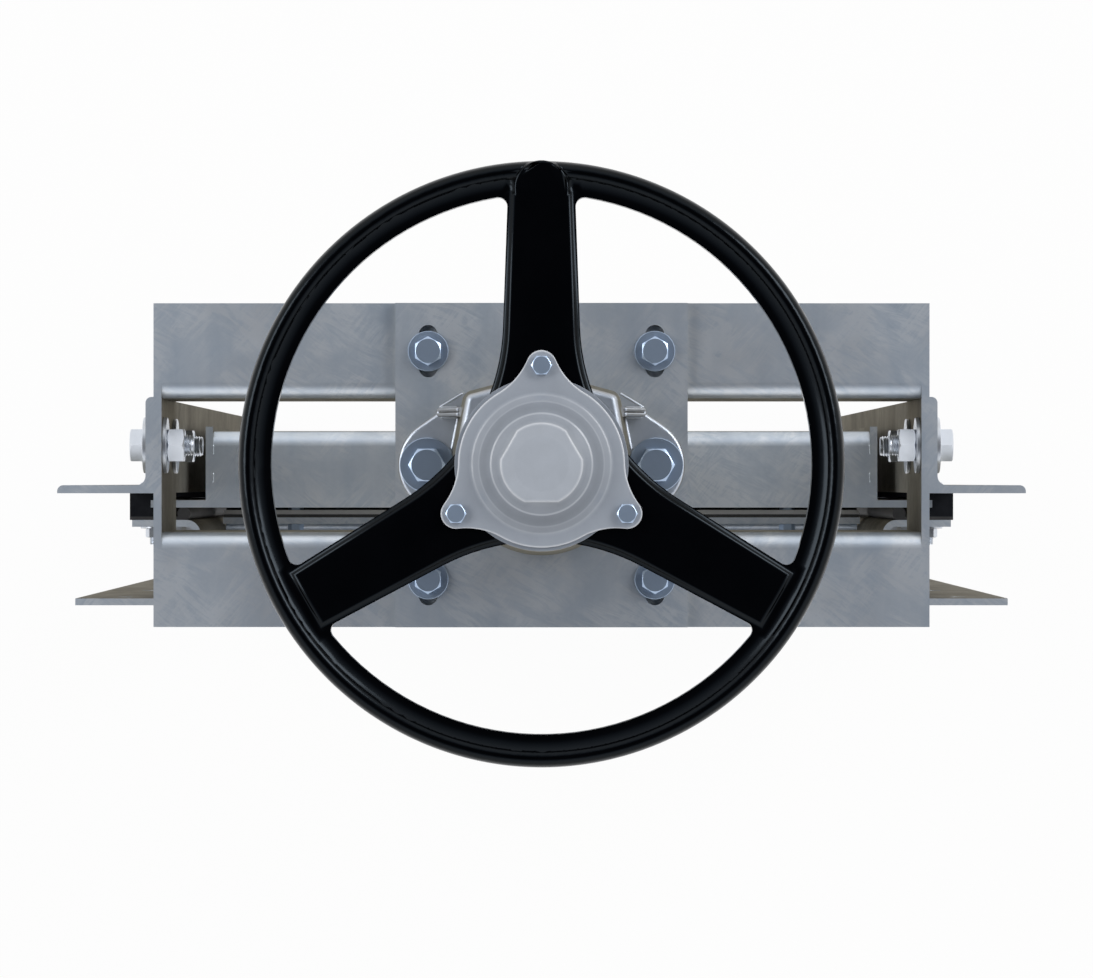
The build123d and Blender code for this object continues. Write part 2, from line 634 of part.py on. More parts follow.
keep(bearing_housing.part, "bearing_housing")

EAR_GRIP = HOUSING_FLANGE_THICKNESS + DRIVE_PLATE_THICKNESS
with BuildPart() as bearing_housing_bolts:
    with Locations(at_stem(EAR_TOP)):
        with GridLocations(EAR_BOLT_SPACING, 0, 2, 1):
            add(bolt(M16, M16_FLATS, M16_HEAD, M16_NUT, M16_WASHER, M16_WASHER_THICKNESS, EAR_GRIP))
keep(bearing_housing_bolts.part, "bearing_housing_bolts")

# Handwheel: a casting with a beaded rim, a ledge inside it, three spokes with a raised back and a hub
RIM_RADIUS = WHEEL_DIAMETER / 2
RIM_INSIDE = RIM_RADIUS - RIM_WIDTH
BEAD_MIDDLE = RIM_RADIUS - RIM_BEAD_WIDTH / 2
FIRST_SPOKE = -90
spoke_angles = [FIRST_SPOKE + 360 / SPOKE_COUNT * number for number in range(SPOKE_COUNT)]


def spoke_plan(inset):
    """Plan of one spoke along +X, from the stem to the rim, drawn in from its edges by the inset."""
    root = SPOKE_ROOT_WIDTH / 2 - inset
    tip = SPOKE_RIM_WIDTH / 2 - inset
    reach = RIM_INSIDE + SPOKE_SLOPE - inset
    with BuildSketch() as plan:
        with BuildLine():
            Polyline((0, root), (0, -root), (reach, -tip), (reach, tip), close=True)
        make_face()
    return plan.sketch


def star_plan(inset):
    """Plan of the three spokes, which run into each other in wide curves round the hub."""
    with BuildSketch() as plan:
        with PolarLocations(0, SPOKE_COUNT, start_angle=FIRST_SPOKE):
            add(spoke_plan(inset))
        fillet(plan.vertices().sort_by_distance((0, 0))[:SPOKE_COUNT], SPOKE_ROOT_RADIUS)
    return plan.sketch


with BuildSketch() as windows:
    Circle(RIM_INSIDE)
    add(star_plan(0), mode=Mode.SUBTRACT)
    rim_corners = windows.vertices().sort_by_distance((0, 0))[-2 * SPOKE_COUNT:]
    fillet(rim_corners, SPOKE_RIM_FILLET)

with BuildPart() as handwheel:
    with BuildSketch(at_stem(LEDGE_TOP)):
        Circle(BEAD_MIDDLE)
        add(windows.sketch, mode=Mode.SUBTRACT)
    extrude(amount=-RIM_LEDGE_HEIGHT)
    with BuildSketch(ABOVE_STEM):
        with Locations((BEAD_MIDDLE, RIM_MIDDLE)):
            Ellipse(RIM_BEAD_WIDTH / 2, RIM_BEAD_HEIGHT / 2)
    revolve(axis=STEM_AXIS)
    for height, inset in ((LEDGE_TOP, SPOKE_EDGE), (HUB_TOP, SPOKE_EDGE + SPOKE_SLOPE)):
        with BuildSketch(at_stem(height)):
            add(star_plan(inset))
    loft()
    with BuildSketch(at_stem(LEDGE_TOP).rotated((0, 0, FIRST_SPOKE))):
        with Locations((RIM_RADIUS - SPOKE_PAD_WIDTH / 2, 0)):
            Circle(SPOKE_PAD_WIDTH / 2)
    extrude(amount=SPOKE_RISE)
    with BuildSketch(ABOVE_STEM):
        with BuildLine():
            Polyline(
                (0, HUB_FOOT),
                (HUB_BOSS_DIAMETER / 2, HUB_FOOT),
                (HUB_BOSS_DIAMETER / 2, LEDGE_TOP - RIM_LEDGE_HEIGHT - HUB_FLARE),
                (HUB_DIAMETER / 2, LEDGE_TOP - RIM_LEDGE_HEIGHT),
                (HUB_DIAMETER / 2, HUB_TOP),
                (0, HUB_TOP),
                close=True,
            )
        make_face()
    revolve(axis=STEM_AXIS)
    with BuildSketch(at_stem(HUB_FOOT)):
        Circle(STEM_TOP_DIAMETER / 2)
    extrude(amount=HUB_HEIGHT, mode=Mode.SUBTRACT)
    with BuildSketch(at_stem(HUB_TOP)):
        with PolarLocations(CAP_DIAMETER / 2 + CAP_LOBE_RADIUS, SPOKE_COUNT, start_angle=FIRST_SPOKE):
            Circle(M8 / 2)
    extrude(amount=-SPOKE_RISE - RIM_LEDGE_HEIGHT, mode=Mode.SUBTRACT)
keep(handwheel.part, "handwheel")

# Stem and hub nut: the stem hangs from the hub and turns in the housing without rising
with BuildPart() as stem:
    with BuildSketch(at_stem(STEM_FOOT)):
        Circle(STEM_DIAMETER / 2)
    extrude(amount=HUB_FOOT - STEM_FOOT)
    with BuildSketch(at_stem(HUB_FOOT)):
        Circle(STEM_TOP_DIAMETER / 2)
    extrude(amount=HUB_HEIGHT + HUB_NUT_HEIGHT)
keep(stem.part, "stem")

with BuildPart() as hub_nut:
    with BuildSketch(at_stem(HUB_TOP)):
        RegularPolygon(STEM_TOP_DIAMETER / 2 + HUB_NUT_WALL, HEX_SIDE_COUNT, major_radius=False)
        Circle(STEM_TOP_DIAMETER / 2, mode=Mode.SUBTRACT)
    extrude(amount=HUB_NUT_HEIGHT)
keep(hub_nut.part, "hub_nut")

# Cap: a stepped dome on a flange whose three lobes run out along the spokes in wide hollow curves
CAP_RADIUS = CAP_DIAMETER / 2
LOBE_REACH = CAP_RADIUS + CAP_LOBE_RADIUS
CAP_WAIST = CAP_RADIUS - CAP_LOBE_RADIUS
FLARE_SPREAD = LOBE_REACH * cos(radians(CAP_FLARE_ANGLE)) - CAP_WAIST
FLARE_REACH = (LOBE_REACH**2 - CAP_WAIST**2) / (2 * FLARE_SPREAD)
FLARE_RADIUS = FLARE_REACH - CAP_RADIUS


def cap_lobe(angle):
    """Half outlines of one lobe, as points from the round flange out to the lobe's tip and back."""
    points = []
    for side in (-1, 1):
        turn = radians(angle + side * CAP_FLARE_ANGLE)
        centre = Vector(FLARE_REACH * cos(turn), FLARE_REACH * sin(turn))
        lobe = Vector(LOBE_REACH * cos(radians(angle)), LOBE_REACH * sin(radians(angle)))
        start = centre * (CAP_RADIUS / FLARE_REACH)
        end = centre + (lobe - centre) * (FLARE_RADIUS / (lobe - centre).length)
        middle = centre + ((start + end) / 2 - centre).normalized() * FLARE_RADIUS
        points.append([start, middle, end])
    tip = Vector(cos(radians(angle)), sin(radians(angle))) * (LOBE_REACH + CAP_LOBE_RADIUS)
    return points[0], tip, points[1][::-1]


with BuildPart() as stem_cap:
    with BuildSketch(at_stem(HUB_TOP)):
        with BuildLine():
            lobes = [cap_lobe(angle) for angle in spoke_angles]
            for number, (rise, tip, fall) in enumerate(lobes):
                ThreePointArc(*rise)
                ThreePointArc(rise[2], tip, fall[0])
                ThreePointArc(*fall)
                following = lobes[(number + 1) % SPOKE_COUNT][0][0]
                between = (fall[2] + following).normalized() * CAP_RADIUS
                ThreePointArc(fall[2], between, following)
        make_face()
    extrude(amount=CAP_FLANGE)
    with BuildSketch(at_stem(HUB_TOP)):
        Circle(CAP_SKIRT_DIAMETER / 2)
    extrude(amount=CAP_SKIRT_HEIGHT)
    with BuildSketch(ABOVE_STEM):
        with BuildLine():
            Polyline(
                (0, HUB_TOP),
                (CAP_RADIUS * CAP_RADIUS_SHARES[0], HUB_TOP),
                *[
                    (CAP_RADIUS * radius, HUB_TOP + CAP_RISE * height)
                    for radius, height in zip(CAP_RADIUS_SHARES, CAP_HEIGHT_SHARES)
                ],
                (0, HUB_TOP + CAP_RISE),
                close=True,
            )
        make_face()
    revolve(axis=STEM_AXIS)
    with BuildSketch(at_stem(HUB_TOP + CAP_RISE)):
        with PolarLocations(CAP_FLAT_DISTANCE + CAP_RADIUS / 2, SPOKE_COUNT, start_angle=-FIRST_SPOKE):
            Rectangle(CAP_RADIUS, CAP_RADIUS)
    extrude(amount=-CAP_FLAT_DEPTH, mode=Mode.SUBTRACT)
    with BuildSketch(at_stem(HUB_TOP)):
        Circle(CAP_RADIUS * CAP_RADIUS_SHARES[-1] - CAP_WALL)
    extrude(amount=CAP_RISE - CAP_WALL, mode=Mode.SUBTRACT)
    with BuildSketch(at_stem(HUB_TOP)):
        with PolarLocations(LOBE_REACH, SPOKE_COUNT, start_angle=FIRST_SPOKE):
            Circle((M8 + HOLE_PLAY) / 2)
    extrude(amount=CAP_FLANGE, mode=Mode.SUBTRACT)
keep(stem_cap.part, "stem_cap")

with BuildPart() as cap_bolts:
    with Locations(at_stem(HUB_TOP + CAP_FLANGE)):
        with PolarLocations(LOBE_REACH, SPOKE_COUNT, start_angle=FIRST_SPOKE):
            add(stud(M8_FLATS, M8_HEAD, CAP_FLANGE + SPOKE_RISE + RIM_LEDGE_HEIGHT))
keep(cap_bolts.part, "cap_bolts")

# Leaf: a plate in the guides, stiffened by two side plates and three folded beams between them
with BuildPart() as gate_plate:
    with BuildSketch(Plane.XZ.offset(-LEAF_BACK)):
        with Locations((0, LEAF_FOOT + LEAF_HEIGHT / 2)):
            Rectangle(LEAF_WIDTH, LEAF_HEIGHT)
    extrude(amount=PLATE)
keep(gate_plate.part, "gate_plate")

SIDE_PLATE_DEPTH = LEAF_FRONT - BEAM_FRONT + SIDE_PLATE_LAP
for name, side in SIDES.items():
    with BuildPart() as gate_side_plate:
        with BuildSketch(Plane.YZ.offset(side * (SIDE_PLATE_OUTSIDE - PLATE / 2))):
            with Locations((LEAF_FRONT - SIDE_PLATE_DEPTH / 2, LEAF_FOOT + LEAF_HEIGHT / 2)):
                Rectangle(SIDE_PLATE_DEPTH, LEAF_HEIGHT)
        extrude(amount=PLATE / 2, both=True)
    keep(gate_side_plate.part, f"{name}_gate_side_plate")

NUT_BOLT_SPACING = STEM_NUT_DIAMETER + 2 * STEM_NUT_BOLT_GAP
beams = {
    "top": (LEAF_TOP - TOP_BEAM_HEIGHT, TOP_BEAM_HEIGHT, STEM_NUT_DIAMETER + HOLE_PLAY),
    "middle": (LEAF_FOOT + (LEAF_HEIGHT - LOWER_BEAM_HEIGHT) / 2, LOWER_BEAM_HEIGHT, STEM_PASSAGE),
    "bottom": (LEAF_FOOT, LOWER_BEAM_HEIGHT, STEM_PASSAGE),
}
for name, (foot, height, passage) in beams.items():
    with BuildPart() as gate_beam:
        with BuildSketch(Plane.YZ.offset(-BEAM_LENGTH / 2)):
            add(folded([
                (LEAF_FRONT, foot + height),
                (BEAM_FRONT, foot + height),
                (BEAM_FRONT, foot),
                (LEAF_FRONT, foot),
            ]))
        extrude(amount=BEAM_LENGTH)
        with BuildSketch(at_stem(foot)):
            Circle(passage / 2)
        extrude(amount=height, mode=Mode.SUBTRACT)
        if name == "top":
            with BuildSketch(at_stem(LEAF_TOP)):
                with GridLocations(NUT_BOLT_SPACING, 0, 2, 1):
                    Circle((M8 + HOLE_PLAY) / 2)
            extrude(amount=-PLATE, mode=Mode.SUBTRACT)
    keep(gate_beam.part, f"gate_{name}_beam")

# Stem nut: a flanged bush let into the top beam and bolted down
with BuildPart() as stem_nut:
    with BuildSketch(at_stem(LEAF_TOP)):
        SlotOverall(NUT_BOLT_SPACING + 2 * STEM_NUT_BOLT_INSET, STEM_NUT_DIAMETER)
        with GridLocations(NUT_BOLT_SPACING, 0, 2, 1):
            Circle((M8 + HOLE_PLAY) / 2, mode=Mode.SUBTRACT)
    extrude(amount=STEM_NUT_FLANGE_THICKNESS)
    with BuildSketch(at_stem(LEAF_TOP - STEM_NUT_DROP)):
        Circle(STEM_NUT_DIAMETER / 2)
    extrude(amount=STEM_NUT_DROP)
    with BuildSketch(at_stem(LEAF_TOP - STEM_NUT_DROP)):
        Circle(STEM_DIAMETER / 2 + FIT_GAP)
    extrude(amount=STEM_NUT_DROP + STEM_NUT_FLANGE_THICKNESS, mode=Mode.SUBTRACT)
keep(stem_nut.part, "stem_nut")

with BuildPart() as stem_nut_bolts:
    with Locations(at_stem(LEAF_TOP + STEM_NUT_FLANGE_THICKNESS)):
        with GridLocations(NUT_BOLT_SPACING, 0, 2, 1):
            add(stud(M8_FLATS, M8_HEAD, STEM_NUT_FLANGE_THICKNESS + PLATE, M8_NUT))
keep(stem_nut_bolts.part, "stem_nut_bolts")
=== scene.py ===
# %% [markdown]
# A sluice gate closes an opening in a wall. A handwheel turns a threaded stem, and the stem lowers or lifts a
# steel leaf between two posts. The solid model of the gate is loaded first and stays fixed: everything made
# below is laid onto it in the same frame, in metres, with +Z up and the wall at y = 0.

# %% Load the solid model
from math import pi, radians

import bmesh
import bpy
import numpy as np
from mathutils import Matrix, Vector


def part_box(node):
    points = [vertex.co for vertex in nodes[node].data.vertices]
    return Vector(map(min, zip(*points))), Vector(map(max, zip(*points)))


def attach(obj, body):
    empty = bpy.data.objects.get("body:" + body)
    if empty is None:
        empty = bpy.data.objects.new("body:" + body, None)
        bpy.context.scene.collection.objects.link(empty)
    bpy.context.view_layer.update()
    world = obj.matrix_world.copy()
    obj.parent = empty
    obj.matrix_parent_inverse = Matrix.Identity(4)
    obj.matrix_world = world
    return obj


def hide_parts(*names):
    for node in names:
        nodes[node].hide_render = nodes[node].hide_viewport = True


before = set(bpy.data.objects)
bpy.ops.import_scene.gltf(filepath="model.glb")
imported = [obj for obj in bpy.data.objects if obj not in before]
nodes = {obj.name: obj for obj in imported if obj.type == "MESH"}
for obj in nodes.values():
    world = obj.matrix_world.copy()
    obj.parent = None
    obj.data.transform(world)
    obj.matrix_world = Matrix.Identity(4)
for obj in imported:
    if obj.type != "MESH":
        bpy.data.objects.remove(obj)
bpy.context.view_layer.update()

scene = bpy.context.scene
MM = 0.001


def reach(node, axis, inset=0.0):
    """Lowest and highest place of a solid piece along an axis (0, 1, 2 for x, y, z), drawn in by an inset."""
    low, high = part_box(node)
    return low[axis] + inset, high[axis] - inset


stem_y = sum(reach("stem", 1)) / 2

# %% [markdown]
# The picture looks straight down on the handwheel from a few metres above it, through a long lens. A camera
# with no tilt looks down -Z, so only a half turn about Z is needed to bring the wall to the bottom of the
# picture. The small shift slides the frame sideways without tilting the view, as a shift lens does.

# %% Camera above the handwheel
PICTURE_WIDTH, SLIDE_RIGHT, SLIDE_UP = 1093, 5.0, -7.0
EYE_Y, EYE_HEIGHT = -0.1084, 5.45
camera_data = bpy.data.cameras.new("camera_above")
camera_data.lens = 165.7
camera_data.sensor_width = 36.0
camera_data.shift_x = SLIDE_RIGHT / PICTURE_WIDTH
camera_data.shift_y = SLIDE_UP / PICTURE_WIDTH
camera_data.clip_end = 50.0
camera = bpy.data.objects.new("camera_above", camera_data)
camera.location = (0.0, EYE_Y, EYE_HEIGHT)
camera.rotation_euler = (0.0, 0.0, pi)
scene.collection.objects.link(camera)
scene.camera = camera
print("camera height:", camera.location.z, "m, lens:", camera_data.lens, "mm")

# %% [markdown]
# Bare metal shows what is around it. The studio is therefore a soft sky: dark straight overhead, where the
# camera hangs, so that glossy black stays black and level plates look cool and even, and white towards the
# horizon, so that every rounded edge catches a bright line. A ramp on the height of the view direction gives
# that in three nodes, with no picture of a room.

# %% Studio sky
def set_stops(node, stops):
    """Give a colour ramp its (position, colour) stops."""
    elements = node.color_ramp.elements
    while len(elements) < len(stops):
        elements.new(0.5)
    for element, (position, colour) in zip(elements, stops):
        element.position = position
        element.color = (*colour, 1.0)


scene.view_settings.view_transform = "Standard"
world = bpy.data.worlds.new("studio_sky")
scene.world = world
world.use_nodes = True
sky = world.node_tree
sky.nodes.clear()
sky_way = sky.nodes.new("ShaderNodeTexCoord")
sky_split = sky.nodes.new("ShaderNodeSeparateXYZ")
sky_ramp = sky.nodes.new("ShaderNodeValToRGB")
sky_light = sky.nodes.new("ShaderNodeBackground")
sky_out = sky.nodes.new("ShaderNodeOutputWorld")
sky.links.new(sky_way.outputs["Generated"], sky_split.inputs[0])
sky.links.new(sky_split.outputs["Z"], sky_ramp.inputs["Fac"])
sky.links.new(sky_ramp.outputs["Color"], sky_light.inputs["Color"])
sky.links.new(sky_light.outputs[0], sky_out.inputs["Surface"])
set_stops(sky_ramp, [(0.0, (0.80, 0.78, 0.74)), (0.10, (1.0, 0.99, 0.97)), (0.60, (0.97, 0.98, 1.0)),
                     (0.80, (0.42, 0.45, 0.50)), (0.93, (0.05, 0.055, 0.065)), (1.0, (0.02, 0.022, 0.028))])
print("sky stops:", len(sky_ramp.color_ramp.elements))

# %% [markdown]
# The floor is a plain pale sheet under the posts. The background of the picture is pure white, so the camera,
# and metal that mirrors the floor, see it mostly as white card, while a part of it stays an ordinary lit
# surface that keeps the soft shadow at the feet.

# %% Floor
def grid_mesh(name, sheets, wrap=True, values=None):
    """Mesh from grids of points: cell (i, j) of a grid is the quad of its four neighbouring points.

    A wrapped grid joins its last column to its first, as a tube does. Points that coincide at poles and seams
    are merged, and the faces are turned outwards. Values, one a point, go into an attribute named shade.
    """
    points, quads, start = [], [], 0
    for sheet in sheets:
        rows, columns = sheet.shape[:2]
        index = start + np.arange(rows * columns).reshape(rows, columns)
        ahead = np.roll(index, -1, axis=1) if wrap else index[:, 1:]
        here = index if wrap else index[:, :-1]
        quads.append(np.stack([here[:-1], ahead[:-1], ahead[1:], here[1:]], axis=-1).reshape(-1, 4))
        points.append(sheet.reshape(-1, 3))
        start += rows * columns
    mesh = bpy.data.meshes.new(name)
    mesh.from_pydata(np.concatenate(points).tolist(), [], np.concatenate(quads).tolist())
    if values is not None:
        mesh.attributes.new("shade", "FLOAT", "POINT").data.foreach_set("value", values.ravel())
    shape = bmesh.new()
    shape.from_mesh(mesh)
    bmesh.ops.remove_doubles(shape, verts=shape.verts, dist=1e-6)
    bmesh.ops.dissolve_degenerate(shape, edges=shape.edges, dist=1e-7)
    bmesh.ops.recalc_face_normals(shape, faces=shape.faces)
    shape.to_mesh(mesh)
    shape.free()
    piece = bpy.data.objects.new(name, mesh)
    scene.collection.objects.link(piece)
    return piece


FLOOR_HALF, FLOOR_LINES, FLOOR_DROP, WHITE_SHARE = 9.0, 19, 1 * MM, 0.95
lines = np.linspace(-FLOOR_HALF, FLOOR_HALF, FLOOR_LINES)
floor_x, floor_y = np.meshgrid(lines, lines, indexing="ij")
floor_points = np.stack([floor_x, floor_y, 0 * floor_x - FLOOR_DROP], axis=-1)
floor = grid_mesh("floor", [floor_points], wrap=False)
if floor.data.polygons[0].normal.z < 0:
    floor.data.flip_normals()

floor_card = bpy.data.materials.new("floor_card")
floor_card.use_nodes = True
card = floor_card.node_tree
card.nodes.clear()
card_lit = card.nodes.new("ShaderNodeBsdfDiffuse")
card_lit.inputs["Color"].default_value = (0.80, 0.79, 0.77, 1.0)
card_white = card.nodes.new("ShaderNodeEmission")
card_path = card.nodes.new("ShaderNodeLightPath")
card_glossy = card.nodes.new("ShaderNodeMath")
card_glossy.operation = "MAXIMUM"
card_seen = card.nodes.new("ShaderNodeMath")
card_seen.operation = "MAXIMUM"
card_share = card.nodes.new("ShaderNodeMath")
card_share.operation = "MULTIPLY"
card_share.inputs[1].default_value = WHITE_SHARE
card_mix = card.nodes.new("ShaderNodeMixShader")
card_out = card.nodes.new("ShaderNodeOutputMaterial")
card.links.new(card_path.outputs["Is Camera Ray"], card_glossy.inputs[0])
card.links.new(card_path.outputs["Is Glossy Ray"], card_glossy.inputs[1])
card.links.new(card_glossy.outputs[0], card_seen.inputs[0])
card.links.new(card_path.outputs["Is Transmission Ray"], card_seen.inputs[1])
card.links.new(card_seen.outputs[0], card_share.inputs[0])
card.links.new(card_share.outputs[0], card_mix.inputs["Fac"])
card.links.new(card_lit.outputs[0], card_mix.inputs[1])
card.links.new(card_white.outputs[0], card_mix.inputs[2])
card.links.new(card_mix.outputs[0], card_out.inputs["Surface"])
floor.data.materials.append(floor_card)
print("floor:", len(floor.data.polygons), "cells")

# %% [markdown]
# Overhead softboxes give the cap, the rim and the folds their long soft glints. They are wide and weak, so no
# colour is pushed far from the way it is written.

# %% Soft lamps
LAMP_AIM = Vector((0.0, -0.1, 1.4))


def softbox(name, place, size, power):
    """Rectangular lamp at a place, turned to face the middle of the gate."""
    data = bpy.data.lights.new(name, "AREA")
    data.shape = "RECTANGLE"
    data.size, data.size_y = size
    data.energy = power
    lamp = bpy.data.objects.new(name, data)
    lamp.location = place
    lamp.rotation_euler = (LAMP_AIM - Vector(place)).to_track_quat("-Z", "Y").to_euler()
    scene.collection.objects.link(lamp)
    return lamp


softbox("softbox_left", (-2.6, -1.6, 4.0), (2.2, 1.4), 60)
softbox("softbox_right", (2.6, -0.8, 4.0), (2.2, 1.4), 45)

# %% [markdown]
# Each finish is a small network of nodes on Object coordinates, so a pattern keeps its real size whatever
# piece it lies on. One helper starts a finish and the others add a noise, a ramp, a mix or a relief, because
# every finish needs some of them.

# %% Helpers for finishes
def new_finish(name, colour, metallic, roughness):
    """Material with one shader whose constant values are on the sockets, returned with its parts."""
    finish = bpy.data.materials.new(name)
    finish.use_nodes = True
    tree = finish.node_tree
    shader = tree.nodes["Principled BSDF"]
    shader.inputs["Base Color"].default_value = (*colour, 1.0)
    shader.inputs["Metallic"].default_value = metallic
    shader.inputs["Roughness"].default_value = roughness
    place = tree.nodes.new("ShaderNodeTexCoord")
    return finish, tree, shader, place


def pattern(tree, place, scale, detail=4.0, rough=0.55, distortion=0.0, stretch=None, slant=0.0, shift=0.0):
    """Noise on Object coordinates: slant turns it about Z, shift moves it, stretch lengthens some axes."""
    noise = tree.nodes.new("ShaderNodeTexNoise")
    noise.inputs["Scale"].default_value = scale
    noise.inputs["Detail"].default_value = detail
    noise.inputs["Roughness"].default_value = rough
    noise.inputs["Distortion"].default_value = distortion
    source = place.outputs["Object"]
    if slant:
        lean = tree.nodes.new("ShaderNodeMapping")
        lean.inputs["Rotation"].default_value = (0.0, 0.0, slant)
        lean.inputs["Location"].default_value = (shift, shift, 0.0)
        tree.links.new(source, lean.inputs["Vector"])
        source = lean.outputs["Vector"]
    if stretch:
        lay = tree.nodes.new("ShaderNodeMapping")
        lay.inputs["Scale"].default_value = stretch
        tree.links.new(source, lay.inputs["Vector"])
        source = lay.outputs["Vector"]
    tree.links.new(source, noise.inputs["Vector"])
    return noise.outputs["Fac"]


def ramp(tree, value, stops):
    """Colour by a value, through a ramp of (position, colour) stops; a single number stands for a grey."""
    node = tree.nodes.new("ShaderNodeValToRGB")
    set_stops(node, [(position, colour if isinstance(colour, tuple) else (colour,) * 3)
                     for position, colour in stops])
    tree.links.new(value, node.inputs["Fac"])
    return node.outputs["Color"]


def blend(tree, share, first, second, kind="MIX"):
    """Two colours, mixed by a share that is a number or a node's output."""
    node = tree.nodes.new("ShaderNodeMix")
    node.data_type = "RGBA"
    node.blend_type = kind
    if isinstance(share, float):
        node.inputs["Factor"].default_value = share
    else:
        tree.links.new(share, node.inputs["Factor"])
    tree.links.new(first, node.inputs["A"])
    tree.links.new(second, node.inputs["B"])
    return node.outputs["Result"]


# Used to paint shade and reflection according to which way a face turns.
def facing_up(tree, low=0.05, high=0.40):
    """Share that is 0 where the normal's upward part is below low, and 1 where it is above high."""
    surface = tree.nodes.new("ShaderNodeNewGeometry")
    parts = tree.nodes.new("ShaderNodeSeparateXYZ")
    tree.links.new(surface.outputs["Normal"], parts.inputs[0])
    return ramp(tree, parts.outputs["Z"], [(low, 0.0), (high, 1.0)])


def grain(tree, shader, height, strength, distance):
    """Fine relief: a height pattern bends the shading normal."""
    bump = tree.nodes.new("ShaderNodeBump")
    bump.inputs["Strength"].default_value = strength
    bump.inputs["Distance"].default_value = distance
    tree.links.new(height, bump.inputs["Height"])
    tree.links.new(bump.outputs["Normal"], shader.inputs["Normal"])


print("finish helpers ready")

# %% [markdown]
# Hot dip galvanising leaves zinc that is blue grey and slightly cloudy. Along the rolled sheet it shows faint
# bands, and wiping leaves short feathery strokes that cross each other. Clouds are low noise, bands are noise
# stretched along one axis, and the strokes are the same noise turned to a few slants, each kept to its own
# patches. Upright faces get a darker, warmer grey, painted shade and painted reflection of the surroundings
# below, by a mix on the upward part of the normal. The shader's dark olive tint at grazing angles is a
# painted reflection as well.

# %% Galvanised steel
def strokes(tree, place, slant, shift):
    """Feathery strokes at one slant: fine noise, six times as long as wide, times patches of coarse noise."""
    fine = pattern(tree, place, scale=120.0, rough=0.6, distortion=2.2, stretch=(1.0, 0.16, 1.0),
                   slant=slant, shift=shift)
    patches = pattern(tree, place, scale=20.0, detail=2.0, rough=0.5, distortion=0.6, slant=slant, shift=shift)
    bright = ramp(tree, fine, [(0.40, 0.0), (0.62, 1.0)])
    return blend(tree, 1.0, bright, ramp(tree, patches, [(0.46, 0.0), (0.62, 1.0)]), "MULTIPLY")


galvanised_steel, tree, shader, place = new_finish("galvanised_steel", (0.5, 0.53, 0.56), 0.92, 0.42)
# Painted reflection: a dark olive tint on reflections at grazing angles.
shader.inputs["Specular Tint"].default_value = (0.10, 0.075, 0.02, 1.0)
clouds = pattern(tree, place, scale=11.0, detail=7.0, rough=0.66)
bands = pattern(tree, place, scale=52.0, detail=3.0, distortion=0.3, stretch=(1.0, 0.11, 0.11))
cool = ramp(tree, clouds, [(0.32, (0.51, 0.57, 0.645)), (0.68, (0.725, 0.79, 0.87))])
# Painted shade and reflection: a darker, warmer colour for upright faces.
upright_painted_shade = ramp(tree, clouds, [(0.32, (0.27, 0.262, 0.235)), (0.68, (0.39, 0.383, 0.355))])
zinc = blend(tree, facing_up(tree), upright_painted_shade, cool)
zinc = blend(tree, 0.8, zinc, ramp(tree, bands, [(0.3, 0.43), (0.7, 0.57)]), "OVERLAY")
wiped = blend(tree, 1.0, strokes(tree, place, 0.7, 3.0), strokes(tree, place, -0.9, 7.0), "ADD")
wiped = blend(tree, 1.0, wiped, strokes(tree, place, 2.0, 11.0), "ADD")
zinc = blend(tree, 0.9, zinc, ramp(tree, wiped, [(0.0, 0.47), (1.0, 0.64)]), "OVERLAY")
tree.links.new(zinc, shader.inputs["Base Color"])
tree.links.new(ramp(tree, clouds, [(0.3, 0.47), (0.7, 0.37)]), shader.inputs["Roughness"])
grain(tree, shader, clouds, strength=0.06, distance=0.0006)
print("finish:", galvanised_steel.name)

# %% [markdown]
# Bolts are zinc plated, finer and smoother than the dipped plates, so a weak fine noise is enough. The bolts
# in the open on the uprights are bright, and those on the drive have a bluer, darker passivated coat. The
# bronze of the stem nut, the brushed bar and the stem take the same recipe with other colours, and the noise
# on the bar and the stem is stretched.

# %% Plated bolts, bronze and bar
DULL_SHARE, SHEEN_SPREAD = 0.96, 0.02


def plated(name, colour, metallic, roughness, stretch=None):
    """Thin plating: colour and roughness vary a little with a fine noise."""
    finish, tree, shader, place = new_finish(name, colour, metallic, roughness)
    fine = pattern(tree, place, scale=150.0, detail=2.0, rough=0.5, stretch=stretch)
    dull = tuple(DULL_SHARE * part for part in colour)
    sheen = [(0.3, roughness + SHEEN_SPREAD), (0.7, roughness - SHEEN_SPREAD)]
    tree.links.new(ramp(tree, fine, [(0.3, dull), (0.7, colour)]), shader.inputs["Base Color"])
    tree.links.new(ramp(tree, fine, sheen), shader.inputs["Roughness"])
    return finish


bright_zinc = plated("bright_zinc", (0.72, 0.76, 0.82), 0.85, 0.32)
blue_zinc = plated("blue_zinc", (0.455, 0.57, 0.74), 0.76, 0.30)
bronze = plated("bronze", (0.55, 0.36, 0.16), 0.95, 0.38)
brushed_bar = plated("brushed_bar", (0.76, 0.77, 0.78), 1.0, 0.34, (0.05, 1.0, 1.0))
stem_steel = plated("stem_steel", (0.48, 0.47, 0.45), 1.0, 0.34, (0.25, 0.25, 2.0))
print("finishes:", [finish.name for finish in (bright_zinc, blue_zinc, bronze, brushed_bar, stem_steel)])
